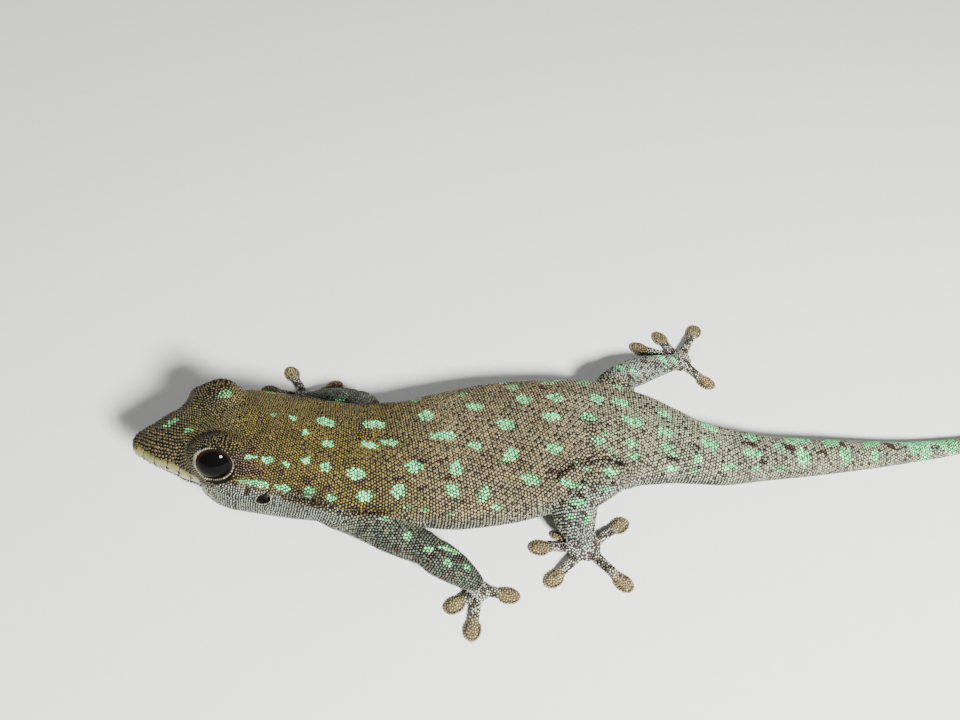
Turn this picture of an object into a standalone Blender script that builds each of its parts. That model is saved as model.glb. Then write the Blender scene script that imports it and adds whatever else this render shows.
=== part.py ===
"""A day gecko at rest on a flat floor, life size, as a still model.

The animal faces -X with its back up, so its left side is towards -Y. The sizes in
the tables are millimetres, and MM turns them into metres when a mesh is made. One
body is swept from snout to tail tip and parted by thin gaps. Each leg is swept
along its own path, and each foot is a palm with five toes fused to it.
"""

import math

import bmesh
import bpy
import numpy as np

MM = 0.001

# Driving sizes, in millimetres
GAP = 0.3
EYEBALL = 2.35
EYE_OPENING = 1.95
LID = 0.34
PAD_LENGTH = 2.5
PAD_WIDTH = 1.75
PAD_THICKNESS = 0.7
TOE_WIDTH = 1.15
SHORT_TOE_WIDTH = 0.7
EAR_LENGTH = 1.5
EAR_HEIGHT = 1.0
NOSTRIL = 0.32

# The middle line of the body and its section, from the snout to the tip of the tail:
# x, y, z of the centre, half the width, the rise above the centre, the drop below it,
# and the squareness of the back and of the belly, where 2 is an ellipse
BODY = (
    (-38.05, -3.05, 10.80, 0.15, 0.15, 0.15, 2.0, 2.2),
    (-37.70, -3.02, 10.80, 0.95, 0.70, 0.65, 2.0, 2.2),
    (-36.50, -2.90, 10.80, 1.95, 1.30, 1.40, 2.0, 2.4),
    (-35.00, -2.75, 10.75, 2.85, 1.90, 2.20, 1.9, 2.7),
    (-32.80, -2.30, 10.65, 4.25, 2.65, 3.85, 1.9, 3.0),
    (-30.00, -1.80, 10.50, 5.50, 3.35, 5.05, 1.9, 3.2),
    (-26.50, -2.00, 10.00, 6.70, 3.70, 5.25, 1.9, 3.2),
    (-22.50, -2.55, 9.20, 7.15, 3.60, 5.10, 1.9, 3.0),
    (-18.50, -2.85, 8.10, 7.15, 3.85, 4.75, 2.0, 2.7),
    (-14.50, -2.80, 6.90, 7.10, 4.20, 4.30, 2.1, 2.5),
    (-9.50, -2.00, 5.80, 7.60, 4.30, 4.20, 2.15, 2.5),
    (-4.00, -1.00, 4.95, 8.85, 4.25, 4.10, 2.15, 2.5),
    (2.00, 0.50, 4.40, 9.30, 4.20, 3.85, 2.15, 2.5),
    (8.00, 1.95, 4.15, 8.75, 4.00, 3.60, 2.15, 2.5),
    (13.00, 2.95, 4.00, 7.65, 3.75, 3.40, 2.15, 2.5),
    (18.00, 2.75, 3.70, 6.50, 3.40, 3.20, 2.15, 2.5),
    (22.00, 2.00, 3.45, 5.10, 3.20, 3.10, 2.1, 2.4),
    (25.50, 1.25, 3.10, 4.05, 2.90, 2.90, 2.05, 2.3),
    (29.00, 0.85, 2.80, 3.60, 2.70, 2.81, 2.0, 2.2),
    (35.00, 0.95, 2.27, 2.65, 2.22, 2.29, 2.0, 2.2),
    (43.00, 1.55, 1.75, 2.03, 1.70, 1.77, 2.0, 2.2),
    (52.00, 2.50, 1.17, 1.30, 1.12, 1.19, 2.0, 2.2),
    (61.00, 4.10, 0.76, 0.84, 0.74, 0.78, 2.0, 2.2),
    (69.00, 6.25, 0.47, 0.53, 0.46, 0.49, 2.0, 2.2),
    (73.00, 7.70, 0.34, 0.37, 0.33, 0.36, 2.0, 2.2),
)

# Where the body is parted, as x along the middle line
NECK_START = -20.6
CHEST_START = -15.2
TAIL_START = 19.5
TAIL_CUTS = (32.0, 45.0, 58.5)

# Centre of each eyeball from the middle line of the head: along, sideways, up. The eye
# looks sideways, this many degrees up and forward, and the head is turned to the right.
EYE_X = -28.55
EYE_SIDE = 3.55
EYE_UP = 1.75
EYE_TURN_UP = 25.0
EYE_TURN_FORWARD = 6.0
HEAD_TURN = 11.0

# Half the length, width and height of the dome of skin that each eye sits in, and how far
# behind the eye its middle lies
ORBIT = (3.6, 2.45, 3.05)
ORBIT_BACK = 0.25
ORBIT_SOFTNESS = 0.10

# Ears and nostrils lie on the skin, at this x and height over the middle line
EAR_X = -22.3
EAR_UP = 0.65
NOSTRIL_X = -36.9
NOSTRIL_UP = 0.30

# Soft presses on each side of the head, at x, sideways, up: reach, inward, upward
LORE_PRESS = (-33.0, 3.9, 0.9, 1.4, 0.4, -0.1)
BROW_PRESS = (-27.9, 4.6, 3.9, 1.8, -0.25, 0.3)
JOWL_PRESS = (-28.6, 6.2, -2.2, 2.2, -0.55, -0.1)
CROWN_DIP = (-28.9, 0.0, 3.4, 1.4, 0.0, -0.3)

# The line of the mouth seen from the side: x, and z from the middle line
MOUTH = (
    (-41.0, -0.40),
    (-38.0, -0.38),
    (-36.5, -0.30),
    (-35.0, -0.45),
    (-33.0, -0.95),
    (-31.0, -1.40),
    (-29.0, -1.65),
    (-28.0, -1.72),
)
JAW_HINGE = ((-27.0, -2.0), (-25.8, -4.0), (-24.9, -7.5))
LIP_START = -37.75
LIP_END = -28.3
LIP_HEIGHT = 0.42
LIP_THICKNESS = 0.42

# Limbs, each as an upper and a lower length: x, y, z, half width, half height. The first
# point lies in the torso, and both lengths share the point at the elbow or knee.
LEFT_ARM = (
    (
        (-16.4, -7.6, 5.2, 2.30, 2.10),
        (-12.9, -9.0, 5.4, 2.35, 2.15),
        (-8.9, -11.1, 5.0, 2.15, 1.95),
        (-6.0, -12.3, 4.7, 1.90, 1.75),
    ),
    (
        (-6.6, -12.0, 4.8, 1.70, 1.55),
        (-4.6, -13.1, 4.1, 2.00, 1.80),
        (-2.4, -14.1, 3.1, 1.75, 1.50),
        (-0.9, -14.8, 2.1, 1.25, 1.10),
        (-0.1, -15.3, 1.2, 1.00, 0.80),
    ),
)
RIGHT_ARM = (
    (
        (-13.2, 0.8, 6.4, 1.90, 1.90),
        (-13.3, 4.4, 5.7, 1.95, 1.90),
        (-14.0, 6.6, 4.8, 1.85, 1.80),
        (-14.6, 7.4, 4.4, 1.70, 1.60),
    ),
    (
        (-14.2, 7.3, 4.5, 1.50, 1.45),
        (-16.4, 8.2, 3.7, 1.80, 1.70),
        (-19.2, 9.3, 2.6, 1.50, 1.35),
        (-21.0, 10.2, 1.7, 1.10, 0.95),
        (-22.0, 10.9, 1.1, 0.95, 0.75),
    ),
)
LEFT_LEG = (
    (
        (17.4, 0.2, 4.3, 2.70, 2.20),
        (14.6, -2.4, 4.6, 2.85, 2.35),
        (12.2, -4.6, 4.7, 2.60, 2.15),
        (10.9, -5.7, 4.5, 2.20, 1.90),
    ),
    (
        (10.4, -5.3, 4.6, 1.95, 1.80),
        (10.6, -7.2, 3.7, 2.60, 2.10),
        (11.1, -8.9, 2.4, 2.00, 1.65),
        (11.8, -9.7, 1.5, 1.35, 1.10),
        (12.0, -10.2, 1.0, 1.05, 0.80),
    ),
)
RIGHT_LEG = (
    (
        (16.6, 4.4, 4.1, 2.40, 2.05),
        (16.2, 7.8, 4.3, 2.65, 2.20),
        (16.7, 10.2, 4.1, 2.45, 2.05),
        (17.4, 11.4, 3.9, 2.15, 1.85),
    ),
    (
        (17.0, 11.2, 4.0, 1.70, 1.60),
        (19.4, 13.2, 3.2, 1.95, 1.70),
        (22.4, 14.9, 2.4, 1.55, 1.35),
        (24.8, 16.2, 1.6, 1.20, 1.00),
        (26.2, 17.2, 1.0, 1.05, 0.75),
    ),
)
LOWER_LIMB_SHARE = 0.78

# A domed end has a ring at each of these angles from its rim, in radians
DOME_BENDS = (0.45, 0.85, 1.2)

# The palm or sole of each foot: half its width, half its thickness and its height
HAND_HALF = 1.35
SOLE_HALF = 1.65
SOLE_RISE = 0.85
SOLE_LEVEL = 0.72

# Toes: the middle of each pad, x and y, from the small first digit to the fifth
LEFT_HAND = ((-1.7, -14.5), (-2.7, -16.8), (-0.8, -19.6), (3.1, -15.7), (-2.3, -12.2))
RIGHT_HAND = ((-22.6, 8.9), (-26.0, 9.3), (-26.9, 12.5), (-24.5, 15.4), (-18.9, 13.2))
LEFT_FOOT = ((8.6, -8.3), (6.8, -9.9), (8.2, -13.7), (15.8, -14.2), (16.0, -7.1))
RIGHT_FOOT = ((24.4, 16.6), (21.3, 19.8), (24.3, 21.5), (29.0, 22.7), (29.3, 14.0))

SKIN_BROWN = (0.30, 0.24, 0.15, 1.0)
SKIN_PALE = (0.55, 0.52, 0.46, 1.0)
PAD_TAN = (0.52, 0.42, 0.33, 1.0)
EYE_BLACK = (0.02, 0.015, 0.012, 1.0)


def smooth_curve(knots, values, at):
    """Values at the given places on a cubic through the knots that never swings past them."""
    knots, values = np.asarray(knots, float), np.asarray(values, float)
    steps = np.diff(knots)
    slopes = np.diff(values) / steps
    tangents = np.zeros_like(values)
    tangents[0], tangents[-1] = slopes[0], slopes[-1]
    before, after = steps[:-1], steps[1:]
    same_way = slopes[:-1] * slopes[1:] > 0
    safe = np.where(same_way, slopes[:-1], 1.0), np.where(same_way, slopes[1:], 1.0)
    mean = 3 * (before + after) / ((2 * after + before) / safe[0] + (after + 2 * before) / safe[1])
    tangents[1:-1] = np.where(same_way, mean, 0.0)
    place = np.clip(np.searchsorted(knots, at) - 1, 0, len(steps) - 1)
    t = (at - knots[place]) / steps[place]
    start, end = values[place], values[place + 1]
    rise, fall = tangents[place] * steps[place], tangents[place + 1] * steps[place]
    return (
        start * (2 * t**3 - 3 * t**2 + 1)
        + rise * (t**3 - 2 * t**2 + t)
        + end * (3 * t**2 - 2 * t**3)
        + fall * (t**3 - t**2)
    )


def table_at(table, knots, at):
    """Every column of a table of stations, interpolated at the given places."""
    columns = np.array(table, float).T
    return [smooth_curve(knots, column, at) for column in columns]


def frames(forward):
    """Forward, sideways and upward directions of unit length, from the forward ones."""
    forward = forward / np.linalg.norm(forward, axis=1)[:, None]
    side = np.cross(forward, (0.0, 0.0, 1.0))
    side /= np.linalg.norm(side, axis=1)[:, None]
    return forward, side, np.cross(side, forward)


def section(turns, squareness):
    """Cosine and sine of each turn, squared off: 2 is an ellipse."""
    cosine, sine = np.cos(turns), np.sin(turns)
    power = 2.0 / squareness
    return np.sign(cosine) * np.abs(cosine) ** power, np.sign(sine) * np.abs(sine) ** power


def swell(points, centre, radii, softness):
    """Pushes points out of an egg under the skin, so that they lie on it or beyond."""
    away = (points - centre) / radii
    distance = np.linalg.norm(away, axis=-1, keepdims=True)
    reach = distance + softness * np.log1p(np.exp((1.0 - distance) / softness))
    return centre + away / distance * reach * radii


def press(points, centre, radius, push):
    """Moves points near a centre by a push that fades out over the radius."""
    nearness = np.exp(-(np.linalg.norm(points - centre, axis=-1, keepdims=True) / radius) ** 2)
    return points + nearness * np.asarray(push, float)


def body_line(x):
    """Centre of the body at x, as an array of points."""
    knots = [station[0] for station in BODY]
    y, z = table_at([station[1:3] for station in BODY], knots, np.atleast_1d(np.asarray(x, float)))
    return np.stack([np.atleast_1d(x), y, z], 1)


def beside_body(x, side, up):
    """A point of the turned head: x, the distance to the animal's left, the height over its middle."""
    centre = body_line(x)[0]
    turn = math.radians(HEAD_TURN)
    return centre + np.array((side * math.sin(turn), -side * math.cos(turn), up))


def sculpt(points):
    """Head forms that the plain sections don't have: brows over the eyes, lores and jaw muscles."""
    for side in (1, -1):
        dome = beside_body(EYE_X + ORBIT_BACK, side * EYE_SIDE, EYE_UP)
        points = swell(points, dome, np.array(ORBIT), ORBIT_SOFTNESS)
        for x, sideways, up, reach, inward, lift in (LORE_PRESS, BROW_PRESS, JOWL_PRESS):
            centre = beside_body(x, side * sideways, up)
            points = press(points, centre, reach, (0.0, side * inward, lift))
    x, sideways, up, reach, inward, lift = CROWN_DIP
    return press(points, beside_body(x, sideways, up), reach, (0.0, inward, lift))


def body_rings(first, last, spacing, sides, grown=0.0):
    """Rings of points round the body between two places on it, grown outwards if asked."""
    count = max(3, round((last - first) / spacing) + 1)
    x = np.linspace(first, last, count)
    if first <= BODY[0][0]:
        x = first + (last - first) * np.linspace(0, 1, count) ** 1.35
    knots = [station[0] for station in BODY]
    y, z, width, rise, drop, back, belly = table_at([station[1:] for station in BODY], knots, x)
    _, side, up = frames(body_line(x + 0.1) - body_line(x - 0.1))
    turns = np.linspace(0, 2 * math.pi, sides, endpoint=False) + math.pi / 2
    above = np.sin(turns) > 0
    cosine, sine = section(turns, np.where(above, back[:, None], belly[:, None]))
    across = cosine * (width + grown)[:, None]
    lifted = sine * np.where(above, (rise + grown)[:, None], (drop + grown)[:, None])
    centres = np.stack([x, y, z], 1)
    points = centres[:, None] + across[..., None] * side[:, None] + lifted[..., None] * up[:, None]
    return sculpt(points)


def tube_rings(path, first, last, count, sides, grown=0.0, domed=False):
    """Rings round a tube between two shares of the length of its path, with a round end if asked."""
    stations = np.array(path, float)
    lengths = np.linalg.norm(np.diff(stations[:, :3], axis=0), axis=1)
    knots = np.concatenate([[0.0], np.cumsum(lengths)]) / lengths.sum()
    share = np.linspace(first, last, count)
    x, y, z, width, height = table_at(path, knots, share)
    centres = np.stack([x, y, z], 1)
    forward, side, up = frames(np.gradient(centres, axis=0))
    width, height = width + grown, height + grown
    if domed:
        end, way, wide, high = centres[-1], forward[-1], width[-1], height[-1]
        for bend in DOME_BENDS:
            centres = np.vstack([centres, end + way * high * math.sin(bend)])
            width = np.append(width, wide * math.cos(bend))
            height = np.append(height, high * math.cos(bend))
        side = np.vstack([side, [side[-1]] * len(DOME_BENDS)])
        up = np.vstack([up, [up[-1]] * len(DOME_BENDS)])
    turns = np.linspace(0, 2 * math.pi, sides, endpoint=False)
    across = np.cos(turns)[None, :] * width[:, None]
    lifted = np.sin(turns)[None, :] * height[:, None]
    return centres[:, None] + across[..., None] * side[:, None] + lifted[..., None] * up[:, None]


def object_from_bmesh(name, bm, colour, roughness=0.55):
    """A new object in the scene, with outward faces and its own material."""
    bmesh.ops.recalc_face_normals(bm, faces=bm.faces)
    if bm.calc_volume(signed=True) < 0:
        bmesh.ops.reverse_faces(bm, faces=bm.faces)
    mesh = bpy.data.meshes.new(name)
    bm.to_mesh(mesh)
    bm.free()
    mesh.shade_smooth()
    made = bpy.data.objects.new(name, mesh)
    bpy.context.scene.collection.objects.link(made)
    paint(made, colour, roughness)
    return made


def paint(made, colour, roughness):
    """Gives an object a Principled material of its own."""
    material = bpy.data.materials.new(made.name)
    material.use_nodes = True
    shader = material.node_tree.nodes["Principled BSDF"]
    shader.inputs["Base Color"].default_value = colour
    shader.inputs["Roughness"].default_value = roughness
    shader.inputs["Metallic"].default_value = 0.0
    made.data.materials.clear()
    made.data.materials.append(material)


def skin_rings(name, rings, colour):
    """A closed solid from rings of points, with a fan over each end."""
    bm = bmesh.new()
    loops = [[bm.verts.new(point * MM) for point in ring] for ring in rings]
    for near, far in zip(loops, loops[1:]):
        for i in range(len(near)):
            j = (i + 1) % len(near)
            bm.faces.new((near[i], near[j], far[j], far[i]))
    for ring in (loops[0], loops[-1]):
        rim = bm.faces.new(ring)
        bmesh.ops.poke(bm, faces=[rim])
    bmesh.ops.triangulate(bm, faces=bm.faces)
    return object_from_bmesh(name, bm, colour)


def ball(name, centre, radii, colour, turn=None, rings=12):
    """A closed ball or egg, turned by a 3 by 3 matrix if one is given."""
    bm = bmesh.new()
    bmesh.ops.create_uvsphere(bm, u_segments=rings * 2, v_segments=rings, radius=1.0)
    for vert in bm.verts:
        place = np.array(vert.co) * np.array(radii, float)
        if turn is not None:
            place = turn @ place
        vert.co = (place + centre) * MM
    bmesh.ops.triangulate(bm, faces=bm.faces)
    return object_from_bmesh(name, bm, colour)


def combine(target, others, operation):
    """Joins objects to a target, or cuts them from it, in one Boolean, and removes them."""
    group = bpy.data.collections.new(target.name + "_pieces")
    bpy.context.scene.collection.children.link(group)
    for other in others:
        bpy.context.scene.collection.objects.unlink(other)
        group.objects.link(other)
    boolean = target.modifiers.new(operation.title(), "BOOLEAN")
    boolean.operation = operation
    boolean.solver = "EXACT"
    boolean.operand_type = "COLLECTION"
    boolean.collection = group
    graph = bpy.context.evaluated_depsgraph_get()
    done = bpy.data.meshes.new_from_object(target.evaluated_get(graph))
    target.modifiers.clear()
    old = target.data
    target.data = done
    bpy.data.meshes.remove(old)
    for other in others:
        bpy.data.objects.remove(other)
    bpy.data.collections.remove(group)
    return target


def shells(bm):
    """The faces of each closed surface, largest first."""
    bm.faces.ensure_lookup_table()
    seen, found = set(), []
    for start in bm.faces:
        if start in seen:
            continue
        seen.add(start)
        stack, shell = [start], []
        while stack:
            face = stack.pop()
            shell.append(face)
            for edge in face.edges:
                for other in edge.link_faces:
                    if other not in seen:
                        seen.add(other)
                        stack.append(other)
        found.append(shell)
    return sorted(found, key=lambda shell: -sum(face.calc_area() for face in shell))


def keep_shell(made, rank=0):
    """Keeps one closed surface of an object, the largest unless another rank is asked for."""
    bm = bmesh.new()
    bm.from_mesh(made.data)
    bmesh.ops.remove_doubles(bm, verts=bm.verts, dist=1e-7)
    found = shells(bm)
    spare = [face for i, shell in enumerate(found) if i != rank for face in shell]
    bmesh.ops.delete(bm, geom=spare, context="FACES")
    bmesh.ops.triangulate(bm, faces=bm.faces)
    bm.to_mesh(made.data)
    bm.free()
    return made


def rest_on_floor(made):
    """Cuts off what is under the floor, which leaves small flats at one level."""
    bm = bmesh.new()
    bmesh.ops.create_cube(bm, size=1.0)
    for vert in bm.verts:
        vert.co.x *= 0.3
        vert.co.y *= 0.3
        vert.co.z = vert.co.z * 0.02 - 0.01
    combine(made, [object_from_bmesh("below_floor", bm, PAD_TAN)], "DIFFERENCE")
    return keep_shell(made)


def eye_axes(side):
    """Columns: forward on the eye, up on the eye, and out of the eye, for the left (1) or right (-1)."""
    forward, rise = math.radians(EYE_TURN_FORWARD - side * HEAD_TURN), math.radians(EYE_TURN_UP)
    out = np.array((-math.sin(forward), -side * math.cos(forward), 0.0)) * math.cos(rise)
    out[2] = math.sin(rise)
    up = np.array((0.0, 0.0, 1.0)) - out[2] * out
    up /= np.linalg.norm(up)
    return np.stack([np.cross(up, out), up, out], 1)


def lid_ring(side):
    """The raised ring of skin round an eye, sunk into the head behind it."""
    axes, centre = eye_axes(side), beside_body(EYE_X, side * EYE_SIDE, EYE_UP)
    depth = math.sqrt((EYEBALL + GAP) ** 2 - EYE_OPENING**2) - 0.05
    bm = bmesh.new()
    around, across = 22, 7
    loops = []
    for turn in np.linspace(0, 2 * math.pi, around, endpoint=False):
        radial = np.array((math.cos(turn), math.sin(turn), 0.0))
        loop = []
        for roll in np.linspace(0, 2 * math.pi, across, endpoint=False):
            reach = EYE_OPENING + 0.22 + LID * math.cos(roll)
            point = radial * reach + np.array((0, 0, depth + LID * math.sin(roll)))
            loop.append(bm.verts.new((centre + axes @ point) * MM))
        loops.append(loop)
    for i, near in enumerate(loops):
        far = loops[(i + 1) % around]
        for j in range(across):
            k = (j + 1) % across
            bm.faces.new((near[j], near[k], far[k], far[j]))
    bmesh.ops.triangulate(bm, faces=bm.faces)
    return object_from_bmesh("lid_ring", bm, SKIN_PALE)


def eye_window(side):
    """A short rod along the eye's axis that opens the lids in front of the eyeball."""
    axes, centre = eye_axes(side), beside_body(EYE_X, side * EYE_SIDE, EYE_UP)
    bm = bmesh.new()
    bmesh.ops.create_cone(
        bm, cap_ends=True, segments=24, radius1=EYE_OPENING, radius2=EYE_OPENING + 0.5, depth=3.0
    )
    for vert in bm.verts:
        vert.co = (centre + axes @ (np.array(vert.co) + np.array((0, 0, 2.2)))) * MM
    bmesh.ops.triangulate(bm, faces=bm.faces)
    return object_from_bmesh("eye_window", bm, EYE_BLACK)


def mouth_height(x):
    """Height of the mouth's line over the middle line of the head, at x."""
    return smooth_curve([p[0] for p in MOUTH], [p[1] for p in MOUTH], np.atleast_1d(x))


def lip(upper):
    """A low ridge along the edge of the mouth, round the snout from one corner to the other."""
    shift = LIP_HEIGHT if upper else -LIP_HEIGHT
    left, right = [], []
    for ring in body_rings(LIP_START, LIP_END, 0.45, 72):
        x = ring[:, 0].mean()
        centre = body_line(x)[0]
        over = np.abs(ring[:, 2] - centre[2] - mouth_height(x)[0] - shift)
        left.insert(0, ring[np.where(ring[:, 1] < centre[1], over, np.inf).argmin()])
        right.append(ring[np.where(ring[:, 1] > centre[1], over, np.inf).argmin()])
    line = np.array(left + right)
    steps = np.linalg.norm(np.diff(line, axis=0), axis=1)
    line = line[np.concatenate([[True], steps > LIP_THICKNESS / 3])]
    sunk = []
    for x, y, z in line:
        middle = body_line(x)[0][1]
        sunk.append((x + 0.2, y + (middle - y) * 0.055, z, LIP_THICKNESS, LIP_THICKNESS))
    sunk[0] = (*sunk[0][:3], LIP_THICKNESS / 2, LIP_THICKNESS / 2)
    sunk[-1] = (*sunk[-1][:3], LIP_THICKNESS / 2, LIP_THICKNESS / 2)
    rings = tube_rings(sunk, 0.0, 1.0, 34, 6)
    return skin_rings("upper_lip" if upper else "lower_lip", rings, SKIN_PALE)


def mouth_cutter(top, bottom):
    """A slab across the head that follows the mouth and then drops behind the jaw, between two edges."""
    corners = np.array(MOUTH + JAW_HINGE, float)
    line = [(x, body_line(x)[0][2] + up) for x, up in corners]
    bm = bmesh.new()
    half = 12.0
    loops = []
    for y in (-half, half):
        edge = [(x, z + top) for x, z in line[: len(MOUTH)]]
        edge += [(x + top, z + top) for x, z in line[len(MOUTH) :]]
        back = [(x, z + bottom) for x, z in line[: len(MOUTH)]]
        back += [(x + bottom, z + bottom) for x, z in line[len(MOUTH) :]]
        loops.append([bm.verts.new((x * MM, y * MM, z * MM)) for x, z in edge + back[::-1]])
    sides = [bm.faces.new(loop) for loop in loops]
    for i in range(len(loops[0])):
        j = (i + 1) % len(loops[0])
        bm.faces.new((loops[0][i], loops[0][j], loops[1][j], loops[1][i]))
    bmesh.ops.triangulate(bm, faces=sides)
    return object_from_bmesh("mouth_gap", bm, SKIN_PALE)


def surface_point(x, side, up):
    """Where a level line to the left or right at this height leaves the body."""
    ring = body_rings(x - 0.2, x + 0.2, 0.2, 144)[1]
    centre = body_line(x)[0]
    over = np.abs(ring[:, 2] - centre[2] - up)
    outer = (ring[:, 1] - centre[1]) * -side > 0
    return ring[np.where(outer, over, np.inf).argmin()]


def head_and_jaw():
    """The skull with its eye sockets, lids, ears and nostrils, and the lower jaw under the mouth."""
    head = skin_rings("head", body_rings(BODY[0][0], NECK_START - GAP, 0.8, 36), SKIN_BROWN)
    combine(head, [lid_ring(1), lid_ring(-1), lip(True), lip(False)], "UNION")
    keep_shell(head)
    hollows = []
    for side in (1, -1):
        eye = beside_body(EYE_X, side * EYE_SIDE, EYE_UP)
        hollows.append(ball("socket", eye, (EYEBALL + GAP,) * 3, EYE_BLACK, eye_axes(side), 9))
        hollows.append(eye_window(side))
        ear = surface_point(EAR_X, side, EAR_UP)
        size = (EAR_LENGTH / 2, 0.75, EAR_HEIGHT / 2)
        hollows.append(ball("ear_cup", ear, size, EYE_BLACK, rings=6))
        nostril = surface_point(NOSTRIL_X, side, NOSTRIL_UP)
        hollows.append(ball("nostril", nostril, (NOSTRIL,) * 3, EYE_BLACK, rings=5))
    combine(head, hollows, "DIFFERENCE")
    keep_shell(head)
    combine(head, [mouth_cutter(GAP / 2, -GAP / 2)], "DIFFERENCE")
    jaw = head.copy()
    jaw.data = head.data.copy()
    jaw.name = "lower_jaw"
    bpy.context.scene.collection.objects.link(jaw)
    paint(jaw, SKIN_PALE, 0.55)
    keep_shell(jaw, rank=1)
    keep_shell(head)


def eyes():
    """Two eyeballs, each held in its socket by the gap of the parts."""
    for name, side in (("eye_left", 1), ("eye_right", -1)):
        eye = beside_body(EYE_X, side * EYE_SIDE, EYE_UP)
        made = ball(name, eye, (EYEBALL,) * 3, EYE_BLACK, turn=eye_axes(side), rings=9)
        paint(made, EYE_BLACK, 0.05)


def trunk_and_tail():
    """The neck, the torso and four lengths of tail, which lies on the floor."""
    skin_rings("neck", body_rings(NECK_START, CHEST_START - GAP, 1.1, 32), SKIN_BROWN)
    skin_rings("torso", body_rings(CHEST_START, TAIL_START - GAP, 1.6, 32), SKIN_BROWN)
    ends = (TAIL_START, *TAIL_CUTS, BODY[-1][0] + GAP)
    names = ("tail_base", "tail_middle", "tail_end", "tail_tip")
    for name, first, last, sides in zip(names, ends, ends[1:], (24, 20, 16, 12)):
        rings = body_rings(first, last - GAP, 1.6, sides)
        rings[..., 2] = np.maximum(rings[..., 2], 0.0)
        skin_rings(name, rings, SKIN_BROWN)


def toe(name, palm, pad, small):
    """One toe: a round shaft from the palm that widens to a flat oval pad."""
    start, middle = np.array(palm, float), np.array(pad, float)
    way = (middle - start) / np.linalg.norm(middle - start)
    across = np.array((-way[1], way[0]))
    shaft = SHORT_TOE_WIDTH / 2 if small else TOE_WIDTH / 2
    pad_half = shaft if small else PAD_WIDTH / 2
    pad_long = 0.5 if small else PAD_LENGTH / 2
    reach = np.linalg.norm(middle - start)
    root = 0.35 if small else 0.6
    along = [root, reach - pad_long * 1.15]
    along += list(reach + pad_long * np.array((-0.6, 0.1, 0.64, 0.94)))
    widths = [shaft * 1.15, shaft, pad_half * 0.85, pad_half, pad_half * 0.8, pad_half * 0.35]
    thick = [0.58, 0.46] + [PAD_THICKNESS / 2 * t for t in (1.1, 1.0, 0.9, 0.6)]
    lift = [0.74, 0.55] + [PAD_THICKNESS / 2 * t for t in (1.0, 0.9, 0.8, 0.52)]
    turns = np.linspace(0, 2 * math.pi, 8, endpoint=False) + math.pi / 8
    rings = []
    for distance, width, half, high in zip(along, widths, thick, lift):
        centre = start + way * distance
        side = across[None, :] * (np.cos(turns) * width)[:, None]
        flat = centre[None, :] + side
        rings.append(np.column_stack([flat, high + half * np.sin(turns)]))
    return skin_rings(name, np.array(rings), PAD_TAN)


def foot(name, path, toes, room):
    """Palm and five toes fused, cut clear of the limb above it and level with the floor."""
    end = np.array(path[-1], float)
    half = HAND_HALF if name.startswith("hand") else SOLE_HALF
    size = (half, half, SOLE_RISE)
    palm = ball(name, (end[0], end[1], SOLE_LEVEL), size, PAD_TAN, rings=6)
    wrist = skin_rings("wrist", tube_rings(path, LOWER_LIMB_SHARE - 0.1, 1.0, 4, 12), PAD_TAN)
    fused = [wrist]
    for digit, pad in enumerate(toes):
        fused.append(toe(f"toe_{digit + 1}", end[:2], pad, small=digit == 0))
    combine(palm, fused, "UNION")
    keep_shell(palm)
    combine(palm, [room], "DIFFERENCE")
    keep_shell(palm)
    return rest_on_floor(palm)


def path_length(path):
    """Length of the straight stretches of a path."""
    return sum(math.dist(a[:3], b[:3]) for a, b in zip(path, path[1:]))


def body_room():
    """The body grown by the gap, from the neck to the root of the tail."""
    return skin_rings("body_room", body_rings(NECK_START, TAIL_START + 6, 1.6, 32, GAP), SKIN_BROWN)


def limb(names, paths, toes):
    """Upper limb, lower limb and foot, each cut clear of what it grows from."""
    (upper_name, lower_name, foot_name), (above, below) = names, paths
    upper = skin_rings(upper_name, tube_rings(above, 0.0, 1.0, 7, 16, domed=True), SKIN_BROWN)
    combine(upper, [body_room()], "DIFFERENCE")
    keep_shell(upper)
    lower = skin_rings(lower_name, tube_rings(below, 0.0, LOWER_LIMB_SHARE, 6, 16), SKIN_BROWN)
    room = tube_rings(above, 0.1, 1.0, 7, 16, GAP, domed=True)
    combine(lower, [skin_rings("upper_room", room, SKIN_BROWN), body_room()], "DIFFERENCE")
    keep_shell(lower)
    reach = LOWER_LIMB_SHARE + GAP / path_length(below)
    room = tube_rings(below, LOWER_LIMB_SHARE - 0.3, reach, 4, 16, GAP)
    foot(foot_name, below, toes, skin_rings("lower_room", room, SKIN_BROWN))


def centre_on_floor():
    """Moves every solid so that the origin is under the middle of the animal, on the floor."""
    solids = [made for made in bpy.context.scene.objects if made.type == "MESH"]
    corners = np.array([vert.co for made in solids for vert in made.data.vertices])
    middle = (corners.min(0) + corners.max(0)) / 2
    for made in solids:
        for vert in made.data.vertices:
            vert.co.x -= middle[0]
            vert.co.y -= middle[1]
    print("middle of the animal on the floor, in mm:", middle[:2] / MM)


def main():
    for old in list(bpy.data.objects):
        bpy.data.objects.remove(old)
    head_and_jaw()
    eyes()
    trunk_and_tail()
    limb(("arm_upper_left", "forearm_left", "hand_left"), LEFT_ARM, LEFT_HAND)
    limb(("arm_upper_right", "forearm_right", "hand_right"), RIGHT_ARM, RIGHT_HAND)
    limb(("thigh_left", "shin_left", "foot_left"), LEFT_LEG, LEFT_FOOT)
    limb(("thigh_right", "shin_right", "foot_right"), RIGHT_LEG, RIGHT_FOOT)
    centre_on_floor()


main()
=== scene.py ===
# %% [markdown]
# # A day gecko, life size
#
# A small brown gecko with mint-green spots lies on a pale floor, head up, toes spread.
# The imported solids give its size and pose. This lesson gives it one seamless skin,
# more than thirty thousand scales, glossy eyes, lips, and pads under its toes.

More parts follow.
